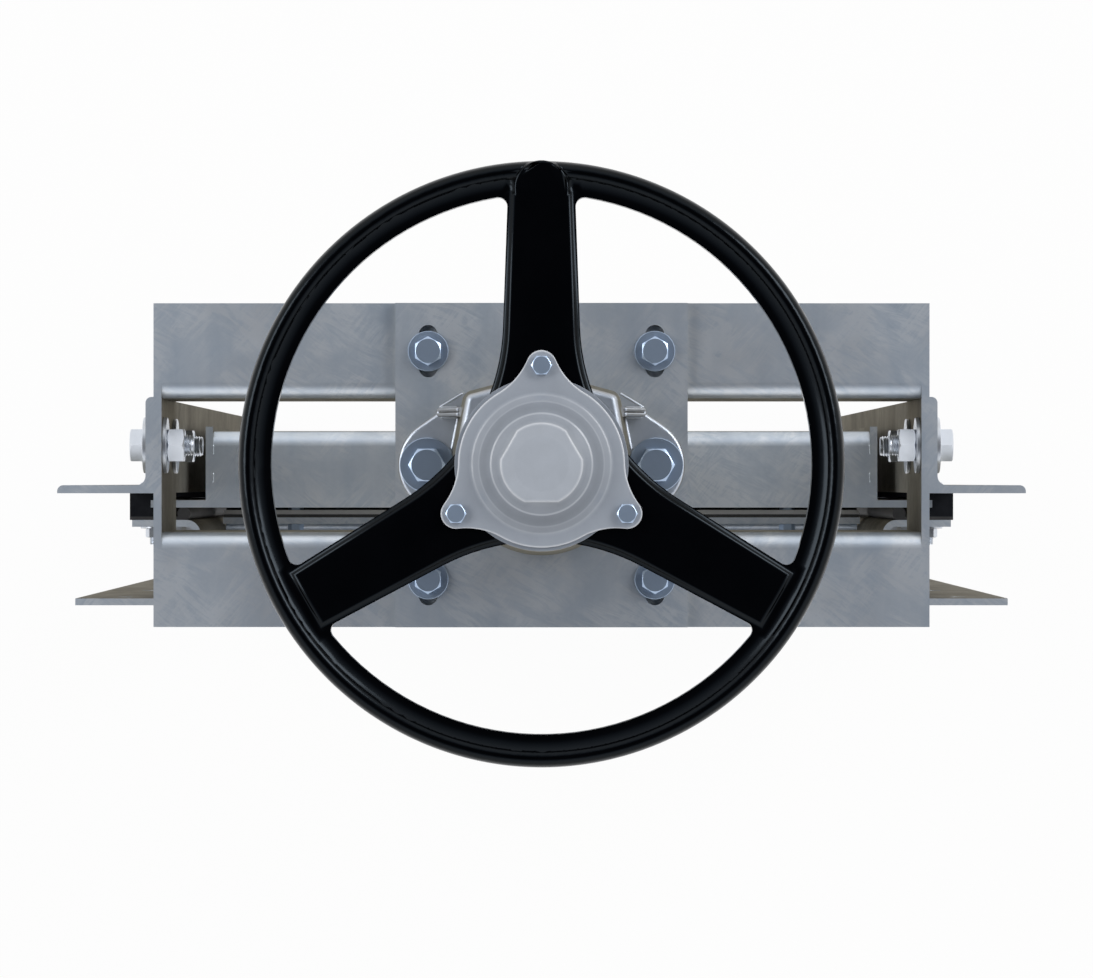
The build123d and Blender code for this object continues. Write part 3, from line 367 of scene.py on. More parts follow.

# %% [markdown]
# The bearing housing is a smooth casting, a little bluer than the plates and as dull, with a fine sandy skin.
# Its rounded edges turn from the dark overhead to the bright horizon and back, so they draw its outline in
# light. They would outshine the flats, so a mix on the normal paints shade on them. Upright walls get a
# warmer, darker colour by the same kind of mix, painted shade and painted reflection, and the shader's warm
# tint at grazing angles is a painted reflection too.

# %% Cast housing
grey_casting, tree, shader, place = new_finish("grey_casting", (0.6, 0.64, 0.69), 0.95, 0.34)
# Painted reflection: a warm tint on reflections at grazing angles.
shader.inputs["Specular Tint"].default_value = (0.26, 0.21, 0.10, 1.0)
sand = pattern(tree, place, scale=420.0, detail=5.0, rough=0.7)
skin = pattern(tree, place, scale=30.0, rough=0.6)
cast_cool = ramp(tree, skin, [(0.3, (0.54, 0.60, 0.69)), (0.7, (0.64, 0.70, 0.79))])
# Painted shade and reflection: a darker, warmer colour for upright walls.
cast_upright_painted_shade = ramp(tree, skin, [(0.3, (0.33, 0.32, 0.29)), (0.7, (0.43, 0.42, 0.39))])
# Painted shade that dims the rounded edges.
cast_edge_painted_shade = ramp(tree, skin, [(0.3, (0.41, 0.42, 0.44)), (0.7, (0.51, 0.525, 0.55))])
cast_cool = blend(tree, facing_up(tree, 0.55, 0.97), cast_edge_painted_shade, cast_cool)
tree.links.new(blend(tree, facing_up(tree), cast_upright_painted_shade, cast_cool), shader.inputs["Base Color"])
tree.links.new(ramp(tree, sand, [(0.3, 0.48), (0.7, 0.40)]), shader.inputs["Roughness"])
grain(tree, shader, sand, strength=0.10, distance=0.0003)
print("finish:", grey_casting.name)

# %% [markdown]
# The handwheel is a casting under thick black enamel: nearly no colour, a smooth gloss, and a faint orange
# peel that makes the glint along the rim swim a little. Guides and seals are black too, but dull: machined
# plastic with fine scores along its length, and rubber with a grey bloom.

# %% Enamel, plastic and rubber
black_enamel, tree, shader, place = new_finish("black_enamel", (0.0006, 0.0007, 0.0010), 0.0, 0.16)
# Painted reflection: reflections are weakened and tinted blue, as darker, bluer surroundings would make them.
shader.inputs["Specular IOR Level"].default_value = 0.2
shader.inputs["Specular Tint"].default_value = (0.72, 0.86, 1.0, 1.0)
peel = pattern(tree, place, scale=260.0, detail=2.0, rough=0.5)
flow = pattern(tree, place, scale=24.0, detail=5.0, rough=0.65)
tree.links.new(ramp(tree, flow, [(0.35, (0.0004, 0.0005, 0.0008)), (0.75, (0.0011, 0.0012, 0.0017))]),
               shader.inputs["Base Color"])
tree.links.new(ramp(tree, flow, [(0.3, 0.19), (0.7, 0.14)]), shader.inputs["Roughness"])
grain(tree, shader, peel, strength=0.02, distance=0.0002)

black_plastic, tree, shader, place = new_finish("black_plastic", (0.006, 0.007, 0.010), 0.0, 0.5)
shader.inputs["Specular IOR Level"].default_value = 0.12
skived = pattern(tree, place, scale=90.0, rough=0.6, stretch=(1.0, 1.0, 0.05))
tree.links.new(ramp(tree, skived, [(0.3, (0.003, 0.004, 0.006)), (0.7, (0.009, 0.010, 0.013))]),
               shader.inputs["Base Color"])
grain(tree, shader, skived, strength=0.08, distance=0.0003)

black_rubber, tree, shader, place = new_finish("black_rubber", (0.02, 0.02, 0.021), 0.0, 0.7)
bloom = pattern(tree, place, scale=70.0, detail=5.0, rough=0.7)
tree.links.new(ramp(tree, bloom, [(0.35, (0.014, 0.014, 0.015)), (0.8, (0.034, 0.034, 0.035))]),
               shader.inputs["Base Color"])
grain(tree, shader, bloom, strength=0.1, distance=0.0004)
print("finishes:", [finish.name for finish in (black_enamel, black_plastic, black_rubber)])

# %% [markdown]
# The cap is a milky moulding. Its colour carries painted light: painted highlights along every edge, painted
# shade on the steep rings over the hub, and a little painted shade over the hub nut. Real light inside thin
# plastic is slow and noisy to trace, so the mesh carries that lightness as a value a point, and a ramp turns
# the value into colour.

# %% Milky plastic
milky_plastic, tree, shader, place = new_finish("milky_plastic", (0.26, 0.29, 0.34), 0.0, 0.34)
shader.inputs["Coat Weight"].default_value = 0.25
shader.inputs["Coat Roughness"].default_value = 0.10
shade = tree.nodes.new("ShaderNodeAttribute")
shade.attribute_name = "shade"
haze = pattern(tree, place, scale=60.0, rough=0.6)
# Painted light: the point values become painted highlights and painted shade.
milk_with_painted_light = ramp(tree, shade.outputs["Fac"], [(0.0, (0.13, 0.15, 0.18)), (0.5, (0.25, 0.275, 0.315)),
                                         (0.8, (0.36, 0.385, 0.425)), (1.0, (0.62, 0.64, 0.67))])
tree.links.new(blend(tree, 0.6, milk_with_painted_light, ramp(tree, haze, [(0.3, 0.46), (0.7, 0.54)]), "OVERLAY"),
               shader.inputs["Base Color"])
tree.links.new(ramp(tree, haze, [(0.3, 0.40), (0.7, 0.30)]), shader.inputs["Roughness"])
speckle = pattern(tree, place, scale=700.0, detail=2.0, rough=0.5)
grain(tree, shader, speckle, strength=0.03, distance=0.0001)
print("finish:", milky_plastic.name)

# %% [markdown]
# The pieces of the solid model whose shape is right stay as they are and only take a finish. A table from
# finish to pieces keeps that in one place.

# %% Finishes on the solid pieces
finish_of = {
    galvanised_steel: [
        "left_frame_channel", "right_frame_channel", "sill_beam", "sill_seat", "lintel_beam",
        "left_upright_angle", "right_upright_angle", "front_yoke_channel", "rear_yoke_channel",
        "left_yoke_end_plate", "right_yoke_end_plate", "drive_plate", "gate_plate", "gate_top_beam",
        "gate_middle_beam", "gate_bottom_beam", "left_gate_side_plate", "right_gate_side_plate",
    ],
    brushed_bar: ["lintel_seal_bar"],
    grey_casting: ["bearing_housing"],
    black_enamel: ["handwheel"],
    milky_plastic: ["stem_cap"],
    black_plastic: ["left_guide_strip", "right_guide_strip"],
    black_rubber: ["left_bulb_seal", "right_bulb_seal", "lintel_seal", "sill_seal"],
    bronze: ["stem_nut"],
    stem_steel: ["stem"],
    bright_zinc: ["left_yoke_bolts", "right_yoke_bolts", "left_guide_bolts", "right_guide_bolts"],
    blue_zinc: ["lintel_seal_bolts", "drive_plate_bolts", "bearing_housing_bolts", "cap_bolts", "hub_nut",
                "stem_nut_bolts"],
}
for finish, names in finish_of.items():
    for name in names:
        nodes[name].data.materials.clear()
        nodes[name].data.materials.append(finish)
print("pieces with a finish:", sum(len(names) for names in finish_of.values()), "of", len(nodes))

# %% [markdown]
# A hexagon bolt is a turned thing with a six sided head, so its surface is a radius that depends on the angle
# and on the place along a profile. The head's top is turned to a cone, which cuts the six corners in arcs.
# Where the cone meets a flat, the height follows from the radius of the hexagon, so one formula gives those
# arcs exactly. The thread is a ridge whose height is the place along the bolt plus the turned angle.

# %% Shapes for bolts
BOLT_POINTS, FACE_SHARE, CONE_FALL, THREAD_DEEP, ROWS_A_PITCH = 48, 0.475, 0.577, 0.6, 8
turn = np.linspace(0.0, 2 * pi, BOLT_POINTS, endpoint=False)


def hexagon(flats, corner):
    """Radius of a hexagon at each angle: half its width over the cosine of the angle from the nearest flat."""
    return flats / 2 / np.cos((turn - corner) % (pi / 3) - pi / 6)


def ring(radius, height):
    """One row of points: a radius and a height for every angle, either of them a number or an array."""
    radius, height = np.broadcast_arrays(radius + 0 * turn, height + 0 * turn)
    return np.stack([radius * np.cos(turn), radius * np.sin(turn), height], axis=-1)


def hex_block(flats, top, foot, corner, both=False):
    """Rows of a head or nut: flat top, cone over the corners, six flats; a nut has the cone at both ends.

    The flat is a circle of FACE_SHARE of the width, and the cone falls by CONE_FALL, the tangent of 30 degrees.
    """
    edge, face = hexagon(flats, corner), FACE_SHARE * flats
    drop = CONE_FALL * (edge - face)
    rows = [ring(face, top), ring(edge, top - drop)]
    rows += [ring(edge, foot + drop), ring(face, foot)] if both else [ring(edge, foot)]
    return rows


def washer_rows(size, thickness, top):
    """Rows of a washer with its two outer edges broken by an eighth of the thickness."""
    soft = thickness / 8
    return [ring(size / 2 - soft, top), ring(size / 2, top - soft), ring(size / 2, top - thickness + soft),
            ring(size / 2 - soft, top - thickness)]


def thread_rows(size, pitch, top, foot):
    """Rows down a thread: radius size / 2, less THREAD_DEEP pitches times one minus a triangle wave.

    The wave runs with the height and the turn together, which makes it a screw, and it fades out at the foot.
    """
    heights = np.linspace(top, foot, int((top - foot) / pitch * ROWS_A_PITCH) + 2)[:, None]
    wave = np.abs((heights / pitch - turn / (2 * pi)) % 1.0 * 2 - 1)
    end = np.minimum(1.0, (heights - foot) / pitch)
    radius = size / 2 - THREAD_DEEP * pitch * (1 - wave * end)
    return list(np.stack([radius * np.cos(turn), radius * np.sin(turn), heights + 0 * turn], axis=-1))


def bolt_grid(size, pitch, flats, head, washer, thick, grip, nut, tail, corner=0.0):
    """A whole bolt on a joint with its upper face at height 0: head, washer, shank, washer, nut and tail."""
    rows = [ring(0.0, thick + head)]
    rows += hex_block(flats, thick + head, thick, corner) + washer_rows(washer, thick, thick)
    rows += [ring(size / 2, 0.0), ring(size / 2, -grip)] + washer_rows(washer, thick, -grip)
    level = -grip - thick
    rows += hex_block(flats, level, level - nut, corner, both=True)
    rows += thread_rows(size, pitch, level - nut, level - nut - tail) + [ring(0.0, level - nut - tail)]
    return np.stack(rows) * MM


def screw_grid(flats, head, size, pitch, length, nut, tail, corner=0.0):
    """A screw from the face at height 0: low hexagon head above, plain shank, nut and threaded tail."""
    rows = [ring(0.0, head)] + hex_block(flats, head, 0.0, corner)
    rows += [ring(size / 2, 0.0), ring(size / 2, -length)]
    if nut:
        rows += hex_block(flats, -length, -length - nut, corner, both=True)
        rows += thread_rows(size, pitch, -length - nut, -length - nut - tail)
    rows += [ring(0.0, -length - nut - tail)]
    return np.stack(rows) * MM


def stand(grid, origin, axis, across):
    """Carry a grid to its place: its height runs along axis and its first direction along across."""
    axis, across = np.array(axis, float), np.array(across, float)
    return np.array(origin) + grid @ np.stack([across, np.cross(axis, across), axis])


def dress(piece, body, finish, node=None, angle=20.0):
    """Smooth shading broken at sharp edges, a finish, a body to ride on, and the solid piece it stands for."""
    piece.data.polygons.foreach_set("use_smooth", np.ones(len(piece.data.polygons), bool))
    piece.data.set_sharp_from_angle(angle=radians(angle))
    piece.data.materials.append(finish)
    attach(piece, body)
    if node:
        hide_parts(node)
    print(piece.name, "faces:", len(piece.data.polygons))


print("points round a bolt:", len(turn))

# %% [markdown]
# The yoke hangs between the two upright angles on four bolts. Their heads point outwards with a corner
# uppermost, so that both faces beside it mirror the bright horizon. The places come from the solid bolts:
# their outermost points are the head's top and the washer's edge. A number in a name is the thread's size in
# millimetres: HEAD_16 is a head's height, WASHER_16 a washer's thickness and ACROSS_16 its width.

# %% Yoke bolts
HEAD_16, WASHER_16, ACROSS_16, BOLT_TAIL = 10.0, 3.0, 42.0, 6.5
yoke_bolt = bolt_grid(size=16.0, pitch=2.0, flats=24.0, head=HEAD_16, washer=ACROSS_16, thick=WASHER_16,
                      grip=12.0, nut=13.0, tail=BOLT_TAIL)
for name, way in (("left", -1), ("right", 1)):
    node = f"{name}_yoke_bolts"
    outside = max(np.abs(reach(node, 0))) - (HEAD_16 + WASHER_16) * MM
    middle = sum(reach(node, 1)) / 2
    grids = [stand(yoke_bolt, (way * outside, middle, height), (way, 0, 0), (0, 0, 1))
             for height in reach(node, 2, ACROSS_16 / 2 * MM)]
    dress(grid_mesh(f"{name}_yoke_bolt_set", grids), "frame", bright_zinc, node)

# %% [markdown]
# The drive plate is clamped by four bolts through its slots, and the bearing housing by two larger ones
# through its ears. The same surface serves: only the sizes, the grip and the way the corners point change.

# %% Bolts of the drive
ACROSS_12, ACROSS_EAR = 30.0, 40.5
drive_bolt = bolt_grid(size=12.0, pitch=1.75, flats=19.0, head=7.5, washer=ACROSS_12, thick=2.5,
                       grip=14.0, nut=10.8, tail=BOLT_TAIL, corner=pi / 2)
drive_top = reach("drive_plate", 2)[1]
grids = [stand(drive_bolt, (x, y, drive_top), (0, 0, 1), (1, 0, 0))
         for x in reach("drive_plate_bolts", 0, ACROSS_12 / 2 * MM)
         for y in reach("drive_plate_bolts", 1, ACROSS_12 / 2 * MM)]
dress(grid_mesh("drive_plate_bolt_set", grids), "frame", blue_zinc, "drive_plate_bolts")

ear_bolt = bolt_grid(size=16.0, pitch=2.0, flats=24.0, head=HEAD_16, washer=ACROSS_EAR, thick=WASHER_16,
                     grip=24.0, nut=13.0, tail=BOLT_TAIL)
ear_top = reach("bearing_housing_bolts", 2)[1] - (HEAD_16 + WASHER_16) * MM
grids = [stand(ear_bolt, (x, stem_y, ear_top), (0, 0, 1), (1, 0, 0))
         for x in reach("bearing_housing_bolts", 0, ACROSS_EAR / 2 * MM)]
ear_bolts = grid_mesh("bearing_housing_bolt_set", grids)
dress(ear_bolts, "frame", blue_zinc, "bearing_housing_bolts")

# %% [markdown]
# Seven bolts a side clamp the upright angle, the guide strip and the tail of the seal to each post. Five
# screws hold the bar on the lintel seal, and two hold the nut on the leaf.

# %% Bolts of the frame and the leaf
HEAD_8, WASHER_8, ACROSS_8, FLATS_8, PITCH_8 = 5.3, 2.0, 24.0, 13.0, 1.25
HALF_HEX, GUIDE_BOLTS, BAR_SCREWS = FLATS_8 / np.sqrt(3) * MM, 7, 5
guide_bolt = bolt_grid(size=8.0, pitch=PITCH_8, flats=FLATS_8, head=HEAD_8, washer=ACROSS_8, thick=WASHER_8,
                       grip=37.0, nut=8.0, tail=BOLT_TAIL)
for name in ("left", "right"):
    node = f"{name}_guide_bolts"
    face = reach(node, 1)[0] + (HEAD_8 + WASHER_8) * MM
    grids = [stand(guide_bolt, (sum(reach(node, 0)) / 2, face, height), (0, -1, 0), (1, 0, 0))
             for height in np.linspace(*reach(node, 2, ACROSS_8 / 2 * MM), GUIDE_BOLTS)]
    dress(grid_mesh(f"{name}_guide_bolt_set", grids), "frame", bright_zinc, node)

bar_screw = screw_grid(flats=FLATS_8, head=3.0, size=8.0, pitch=PITCH_8, length=13.0, nut=8.0, tail=8.0)
bar_face = reach("lintel_seal_bar", 1)[0]
bar_middle = sum(reach("lintel_seal_bar", 2)) / 2
grids = [stand(bar_screw, (x, bar_face, bar_middle), (0, -1, 0), (1, 0, 0))
         for x in np.linspace(*reach("lintel_seal_bolts", 0, HALF_HEX), BAR_SCREWS)]
dress(grid_mesh("lintel_seal_screw_set", grids), "frame", blue_zinc, "lintel_seal_bolts")

nut_screw = screw_grid(flats=FLATS_8, head=HEAD_8, size=8.0, pitch=PITCH_8, length=20.0, nut=8.0, tail=8.0)
nut_top = reach("stem_nut", 2)[1]
grids = [stand(nut_screw, (x, stem_y, nut_top), (0, 0, 1), (1, 0, 0))
         for x in reach("stem_nut_bolts", 0, HALF_HEX)]
dress(grid_mesh("stem_nut_screw_set", grids), "gate", blue_zinc, "stem_nut_bolts")

# %% [markdown]
# The cap is a stepped dome on a flange that runs out into three ears. In plan its outline is a function of
# the angle alone: a circle, a wide hollow curve and the round end of an ear, each tangent to the next. The
# same polar grid then carries the dome, so no seam shows between dome and flange. Each row of the profile has
# a radius, a height and a painted lightness: painted highlights on the edges, painted shade on the steep
# rings over the hub, and a little painted shade over the hub nut.

# %% Cap
around = np.linspace(0.0, 2 * pi, 360, endpoint=False)
CAP_ROUND, CAP_EAR, CAP_REACH, CAP_FLARE = 59.0, 10.8, 69.8, radians(31.0)
PLATEAU_ROUND, PLATEAU_FLAT, CAP_SKIRT = 29.2, 26.8, 61.5


def cap_outline(angle):
    """Polar radius of the flange, by the angle from an ear: ear circle, then hollow flare, then main circle."""
    spread = CAP_REACH * np.cos(CAP_FLARE) - CAP_ROUND + CAP_EAR
    away = (CAP_REACH**2 - (CAP_ROUND - CAP_EAR) ** 2) / (2 * spread)
    bend = away - CAP_ROUND
    centre = away * np.array([np.cos(CAP_FLARE), np.sin(CAP_FLARE)])
    meet = centre + (np.array([CAP_REACH, 0.0]) - centre) * bend / (bend + CAP_EAR)
    angle = np.abs(angle)
    along = centre[0] * np.cos(angle) + centre[1] * np.sin(angle)
    flare = along - np.sqrt(np.maximum(along**2 - away**2 + bend**2, 0.0))
    aside = CAP_REACH * np.sin(angle)
    ear = CAP_REACH * np.cos(angle) + np.sqrt(np.maximum(CAP_EAR**2 - aside**2, 0.0))
    beyond_ear = np.where(angle < CAP_FLARE, flare, CAP_ROUND)
    return np.where(angle < np.arctan2(meet[1], meet[0]), ear, beyond_ear)


outline = cap_outline((around + pi / 2 + pi / 3) % (2 * pi / 3) - pi / 3)
from_flat = (around - pi / 2 + pi / 3) % (2 * pi / 3) - pi / 3
plateau = np.minimum(PLATEAU_ROUND, PLATEAU_FLAT / np.cos(from_flat))
skirt = np.maximum(outline, CAP_SKIRT)
# Third value of a row: painted lightness, high for painted highlights, low for painted shade.
cap_profile = [
    (0.0, 25.0, 0.76), (18.5, 25.0, 0.75), (20.0, 25.0, 0.79),
    (plateau - 2.2, 25.0, 0.79), (plateau - 1.1, 24.9, 0.86), (plateau - 0.4, 24.6, 0.93),
    (plateau, 24.0, 0.84), (plateau + 0.5, 23.3, 0.60), (0.5 * plateau + 17.4, 20.6, 0.48), (34.9, 17.6, 0.50),
    (35.4, 17.2, 0.76), (36.0, 17.0, 0.80), (36.8, 16.3, 0.34),
    (40.2, 12.6, 0.26), (43.4, 9.6, 0.30), (44.25, 8.9, 0.60),
    (45.2, 8.2, 0.50), (48.1, 5.0, 0.52), (49.0, 4.4, 0.70),
    (50.0, 4.0, 0.64), (51.5, 4.0, 0.58), (outline - 1.7, 4.0, 0.60),
    (outline - 0.9, 3.95, 0.86), (outline - 0.3, 3.7, 0.96), (outline, 3.2, 0.92), (outline, 1.5, 0.55),
    (skirt - 0.4, 1.5, 0.30), (skirt, 1.1, 0.40), (skirt, 0.0, 0.30), (26.0, 0.0, 0.30),
    (26.0, 22.0, 0.30), (0.0, 22.0, 0.30),
]
cap_rows = [np.stack([radius * np.cos(around), radius * np.sin(around), height + 0 * around], axis=-1)
            for radius, height, _ in cap_profile]
cap_grid = np.stack(cap_rows) * MM
cap_shade = np.array([painted_lightness for _, _, painted_lightness in cap_profile])[:, None] + 0 * around
cap_foot = reach("stem_cap", 2)[0]
cap = grid_mesh("stem_cap_shell", [cap_grid + np.array([0.0, stem_y, cap_foot])], values=cap_shade)
dress(cap, "handwheel", milky_plastic, "stem_cap", angle=40.0)

cap_screw = screw_grid(flats=FLATS_8, head=HEAD_8, size=8.0, pitch=PITCH_8, length=20.0, nut=0.0, tail=0.0)
screw_face = reach("cap_bolts", 2)[1] - HEAD_8 * MM
grids = [stand(cap_screw, (CAP_REACH * MM * np.cos(angle), stem_y + CAP_REACH * MM * np.sin(angle), screw_face),
               (0, 0, 1), (1, 0, 0)) for angle in np.radians([-90.0, 30.0, 150.0])]
dress(grid_mesh("cap_screw_set", grids), "handwheel", blue_zinc, "cap_bolts")

# %% [markdown]
# The stem is a trapezoidal screw. The wheel turns clockwise to shut the gate while the stem keeps its height,
# so the nut has to run down a left hand thread: the ridge's phase is the height plus the angle, not minus it.
# The ridge fades out at both ends, where the real tool runs out of the bar.

# %% Threaded stem
THREAD_LEAD, THREAD_DEPTH, STEM_RADIUS, STEM_TOP_RADIUS = 6 * MM, 3.2 * MM, 15 * MM, 12 * MM
THREAD_TOP, THREAD_ROWS, FLANK, RUN_OUT, STEM_TIP = 1.42, 985, 2.6, 8 * MM, 10.5 * MM
PLAIN_FOOT, FOOT_CONE, TOP_CONE = 4 * MM, 3 * MM, 2 * MM
spin = np.linspace(0.0, 2 * pi, 40, endpoint=False)
stem_foot, stem_top = reach("stem", 2)
shoulder = reach("handwheel", 2)[0]
thread_foot = stem_foot + PLAIN_FOOT
threaded = np.linspace(thread_foot, THREAD_TOP, THREAD_ROWS)
phase = (threaded[:, None] / THREAD_LEAD + spin / (2 * pi)) % 1.0
ridge = np.clip((np.abs(phase * 2 - 1) - 0.5) * FLANK + 0.5, 0.0, 1.0)
to_end = np.minimum(threaded - thread_foot, THREAD_TOP - threaded)
fade = np.clip(to_end / RUN_OUT, 0.0, 1.0)[:, None]
thread_radius = STEM_RADIUS - THREAD_DEPTH * (1 - ridge) * fade
stem_heights = np.concatenate([[stem_foot, stem_foot, stem_foot + FOOT_CONE], threaded,
                               [shoulder, shoulder, stem_top - TOP_CONE, stem_top, stem_top]])
foot_radius = np.array([[0.0], [STEM_TOP_RADIUS], [STEM_RADIUS]]) + 0 * spin
top_radius = np.array([[STEM_RADIUS], [STEM_TOP_RADIUS], [STEM_TOP_RADIUS], [STEM_TIP], [0.0]]) + 0 * spin
stem_radius = np.concatenate([foot_radius, thread_radius, top_radius])
stem_grid = np.stack([stem_radius * np.cos(spin), stem_radius * np.sin(spin) + stem_y,
                      stem_heights[:, None] + 0 * spin], axis=-1)
dress(grid_mesh("threaded_stem", [stem_grid]), "handwheel", stem_steel, "stem", angle=50.0)

# %% [markdown]
# The solid wheel has sharp edges, but a casting under enamel has none, and along its raised spokes a thin
# glint shows the rounding. The wheel is copied, its loose triangles are joined, and the edges to round are
# picked: the two faces beside such an edge turn by more than EDGE_TURN, both its ends lie at the top, and it
# borders a slope or lies out at the rim's pad.

# %% Edges of the handwheel to round
EDGE_TURN, EDGE_ROUND, PAD_INSIDE = radians(25.0), 1.5 * MM, 150.0 * MM
TOP_SLACK, SLOPE_LEAST = 0.1 * MM, 0.2
wheel_mesh = nodes["handwheel"].data.copy()
shape = bmesh.new()
shape.from_mesh(wheel_mesh)
bmesh.ops.remove_doubles(shape, verts=shape.verts, dist=1e-6)
shape.to_mesh(wheel_mesh)
shape.free()
wheel_mesh.materials.clear()


def mesh_array(things, what, width, kind):
    """One property of a mesh's points, edges, corners or faces, as an array with a row for each."""
    values = np.empty(len(things) * width, kind)
    things.foreach_get(what, values)
    return values.reshape(-1, width) if width > 1 else values


points = mesh_array(wheel_mesh.vertices, "co", 3, float)
ends = points[mesh_array(wheel_mesh.edges, "vertices", 2, np.int32)]
normals = mesh_array(wheel_mesh.polygons, "normal", 3, float)
face = np.repeat(np.arange(len(normals)), mesh_array(wheel_mesh.polygons, "loop_total", 1, np.int32))
by_edge = np.argsort(mesh_array(wheel_mesh.loops, "edge_index", 1, np.int32), kind="stable")
beside = face[by_edge].reshape(-1, 2)
sharp = (normals[beside[:, 0]] * normals[beside[:, 1]]).sum(axis=1) < np.cos(EDGE_TURN)
at_top = (ends[:, :, 2] > points[:, 2].max() - TOP_SLACK).all(axis=1)
sloped = normals[beside][:, :, 2].min(axis=1) > SLOPE_LEAST
at_pad = (np.hypot(ends[:, :, 0], ends[:, :, 1] - stem_y) > PAD_INSIDE).all(axis=1)
rounded = sharp & at_top & (sloped | at_pad)
print("edges to round:", int(rounded.sum()), "of", len(ends))

# %% [markdown]
# A weight on the picked edges tells the Bevel where to work and keeps it off the rest of the wheel. A Bevel
# is the quick way here: it keeps the shape of the solid, which a new surface would have to repeat.

# %% Rounded handwheel
weights = wheel_mesh.attributes.new("bevel_weight_edge", "FLOAT", "EDGE")
weights.data.foreach_set("value", rounded.astype(np.float32))
wheel = bpy.data.objects.new("enamelled_handwheel", wheel_mesh)
scene.collection.objects.link(wheel)
rounding = wheel.modifiers.new("edge_rounding", "BEVEL")
rounding.width = EDGE_ROUND
rounding.segments = 3
rounding.limit_method = "WEIGHT"
rounding.use_clamp_overlap = False
dress(wheel, "handwheel", black_enamel, "handwheel", angle=25.0)

# %% [markdown]
# A casting has no sharp inside corner: where the housing's wall rises from an ear, a small hollow rounding
# joins them, and it shows as a bright line beside each bolt. It is a section carried along the foot of the
# wall: a quarter circle seen from outside, closed by a corner that lies inside the metal.

# %% Hollow rounding at the foot of the housing
WALL_RADIUS, SIDE_TURN, COVE, SUNK, COVE_STEPS = 67.0, radians(11.04), 2.0, 0.6, 30
FRONT_RUN, REAR_RUN = (11.0, 36.5), (-30.0, -11.0)


def cove_grid(way, near, far):
    """Quarter circle hollow carried along the wall, from near to far, both measured in front of the stem.

    The wall is the circle of WALL_RADIUS, and in front of its point at SIDE_TURN it is the tangent there.
    """
    forward = np.linspace(near, far, COVE_STEPS)
    tangent = (WALL_RADIUS - forward * np.sin(SIDE_TURN)) / np.cos(SIDE_TURN)
    circle = np.sqrt(WALL_RADIUS**2 - forward**2)
    wall = np.where(forward > WALL_RADIUS * np.sin(SIDE_TURN), tangent, circle)
    bend = np.linspace(0.0, pi / 2, 7)
    out = np.concatenate([COVE * (1 - np.sin(bend)), [-SUNK]])
    up = np.concatenate([COVE * (1 - np.cos(bend)), [-SUNK]])
    open_end = np.ones(COVE_STEPS)
    open_end[[0, -1]] = 0.0
    out = -SUNK + (out + SUNK) * open_end[:, None]
    up = -SUNK + (up + SUNK) * open_end[:, None]
    return np.stack([way * (wall[:, None] + out) * MM, stem_y - (forward[:, None] + 0 * out) * MM,
                     ear_top + up * MM], axis=-1)


coves = [cove_grid(way, near, far) for way in (-1, 1) for near, far in (FRONT_RUN, REAR_RUN)]
dress(grid_mesh("housing_foot_roundings", coves), "frame", grey_casting, angle=50.0)

# %% [markdown]
# Each side of the casting has a rib whose top edge is rolled over: two rounded edges run down the slope, turn
# about the rib's end and leave a thin valley between them. Smaller roundings lie along the rib's foot and the
# front edge of the web. All of them are one round bead carried along a path, thinned to a point at both ends.

# %% Rolled edges of the ribs
RIB_OUT, RIB_FORWARD, RIB_HALF = 77.0, 39.0, 3.5
RIB_LOW, SLOPE_IN, SLOPE_UP = 7.0, 27.0, 43.0
CORNER_OUT, CORNER_FORWARD, WALL_OUT = 58.0, 53.4, 62.0
ROLL, VALLEY, ROLL_FOOT, ROLL_TOP = 1.7, 1.8, 3.5, 31.0
THIN_ROLL, WEB_LOW = 1.2, -0.7


def bead_grid(path, up, radius):
    """Circle of the given radius, square to a path: up and the path's direction crossed with up span it.

    The radius follows a quarter circle to nothing at each end, so the bead closes there.
    """
    along = np.gradient(path, axis=0)
    side = np.cross(along, up)
    side /= np.linalg.norm(side, axis=1, keepdims=True)
    walked = np.concatenate([[0.0], np.cumsum(np.linalg.norm(np.diff(path, axis=0), axis=1))])
    near = np.clip(np.minimum(walked, walked[-1] - walked) / radius, 0.0, 1.0)
    size = radius * np.sqrt(1 - (1 - near) ** 2)
    bend = np.linspace(0.0, 2 * pi, 16, endpoint=False)
    spread = np.cos(bend)[:, None] * side[:, None] + np.sin(bend)[:, None] * np.array(up)
    return path[:, None] + size[:, None, None] * spread


def straight(start, end):
    """Forty points from start to end, given as millimetres out, in front of the stem and above the ear."""
    return np.linspace(start, end, 40)


def on_casting(way, path):
    """The path's millimetres as a place in the frame, on one side of the stem."""
    return np.stack([way * path[:, 0] * MM, stem_y - path[:, 1] * MM, ear_top + path[:, 2] * MM], axis=-1)


slope = np.hypot(SLOPE_IN, SLOPE_UP)
half_turn = np.linspace(0.0, pi, 15)
climb = np.linspace(ROLL_TOP, ROLL_FOOT, 30)[:-1]
up_slope = np.concatenate([climb, ROLL_FOOT - VALLEY * np.sin(half_turn), climb[::-1]])
sideways = np.concatenate([0 * climb + VALLEY, VALLEY * np.cos(half_turn), 0 * climb - VALLEY])
rolled = np.stack([RIB_OUT - up_slope * SLOPE_IN / slope, RIB_FORWARD + sideways,
                   RIB_LOW + up_slope * SLOPE_UP / slope], axis=-1)
web_edge = straight((RIB_OUT - 1.0, RIB_FORWARD + RIB_HALF, WEB_LOW), (CORNER_OUT, CORNER_FORWARD, WEB_LOW))
feet = [straight((RIB_OUT - 2.0, RIB_FORWARD + aside, 0.0), (WALL_OUT, RIB_FORWARD + aside, 0.0))
        for aside in (-RIB_HALF, RIB_HALF)]
beads = []
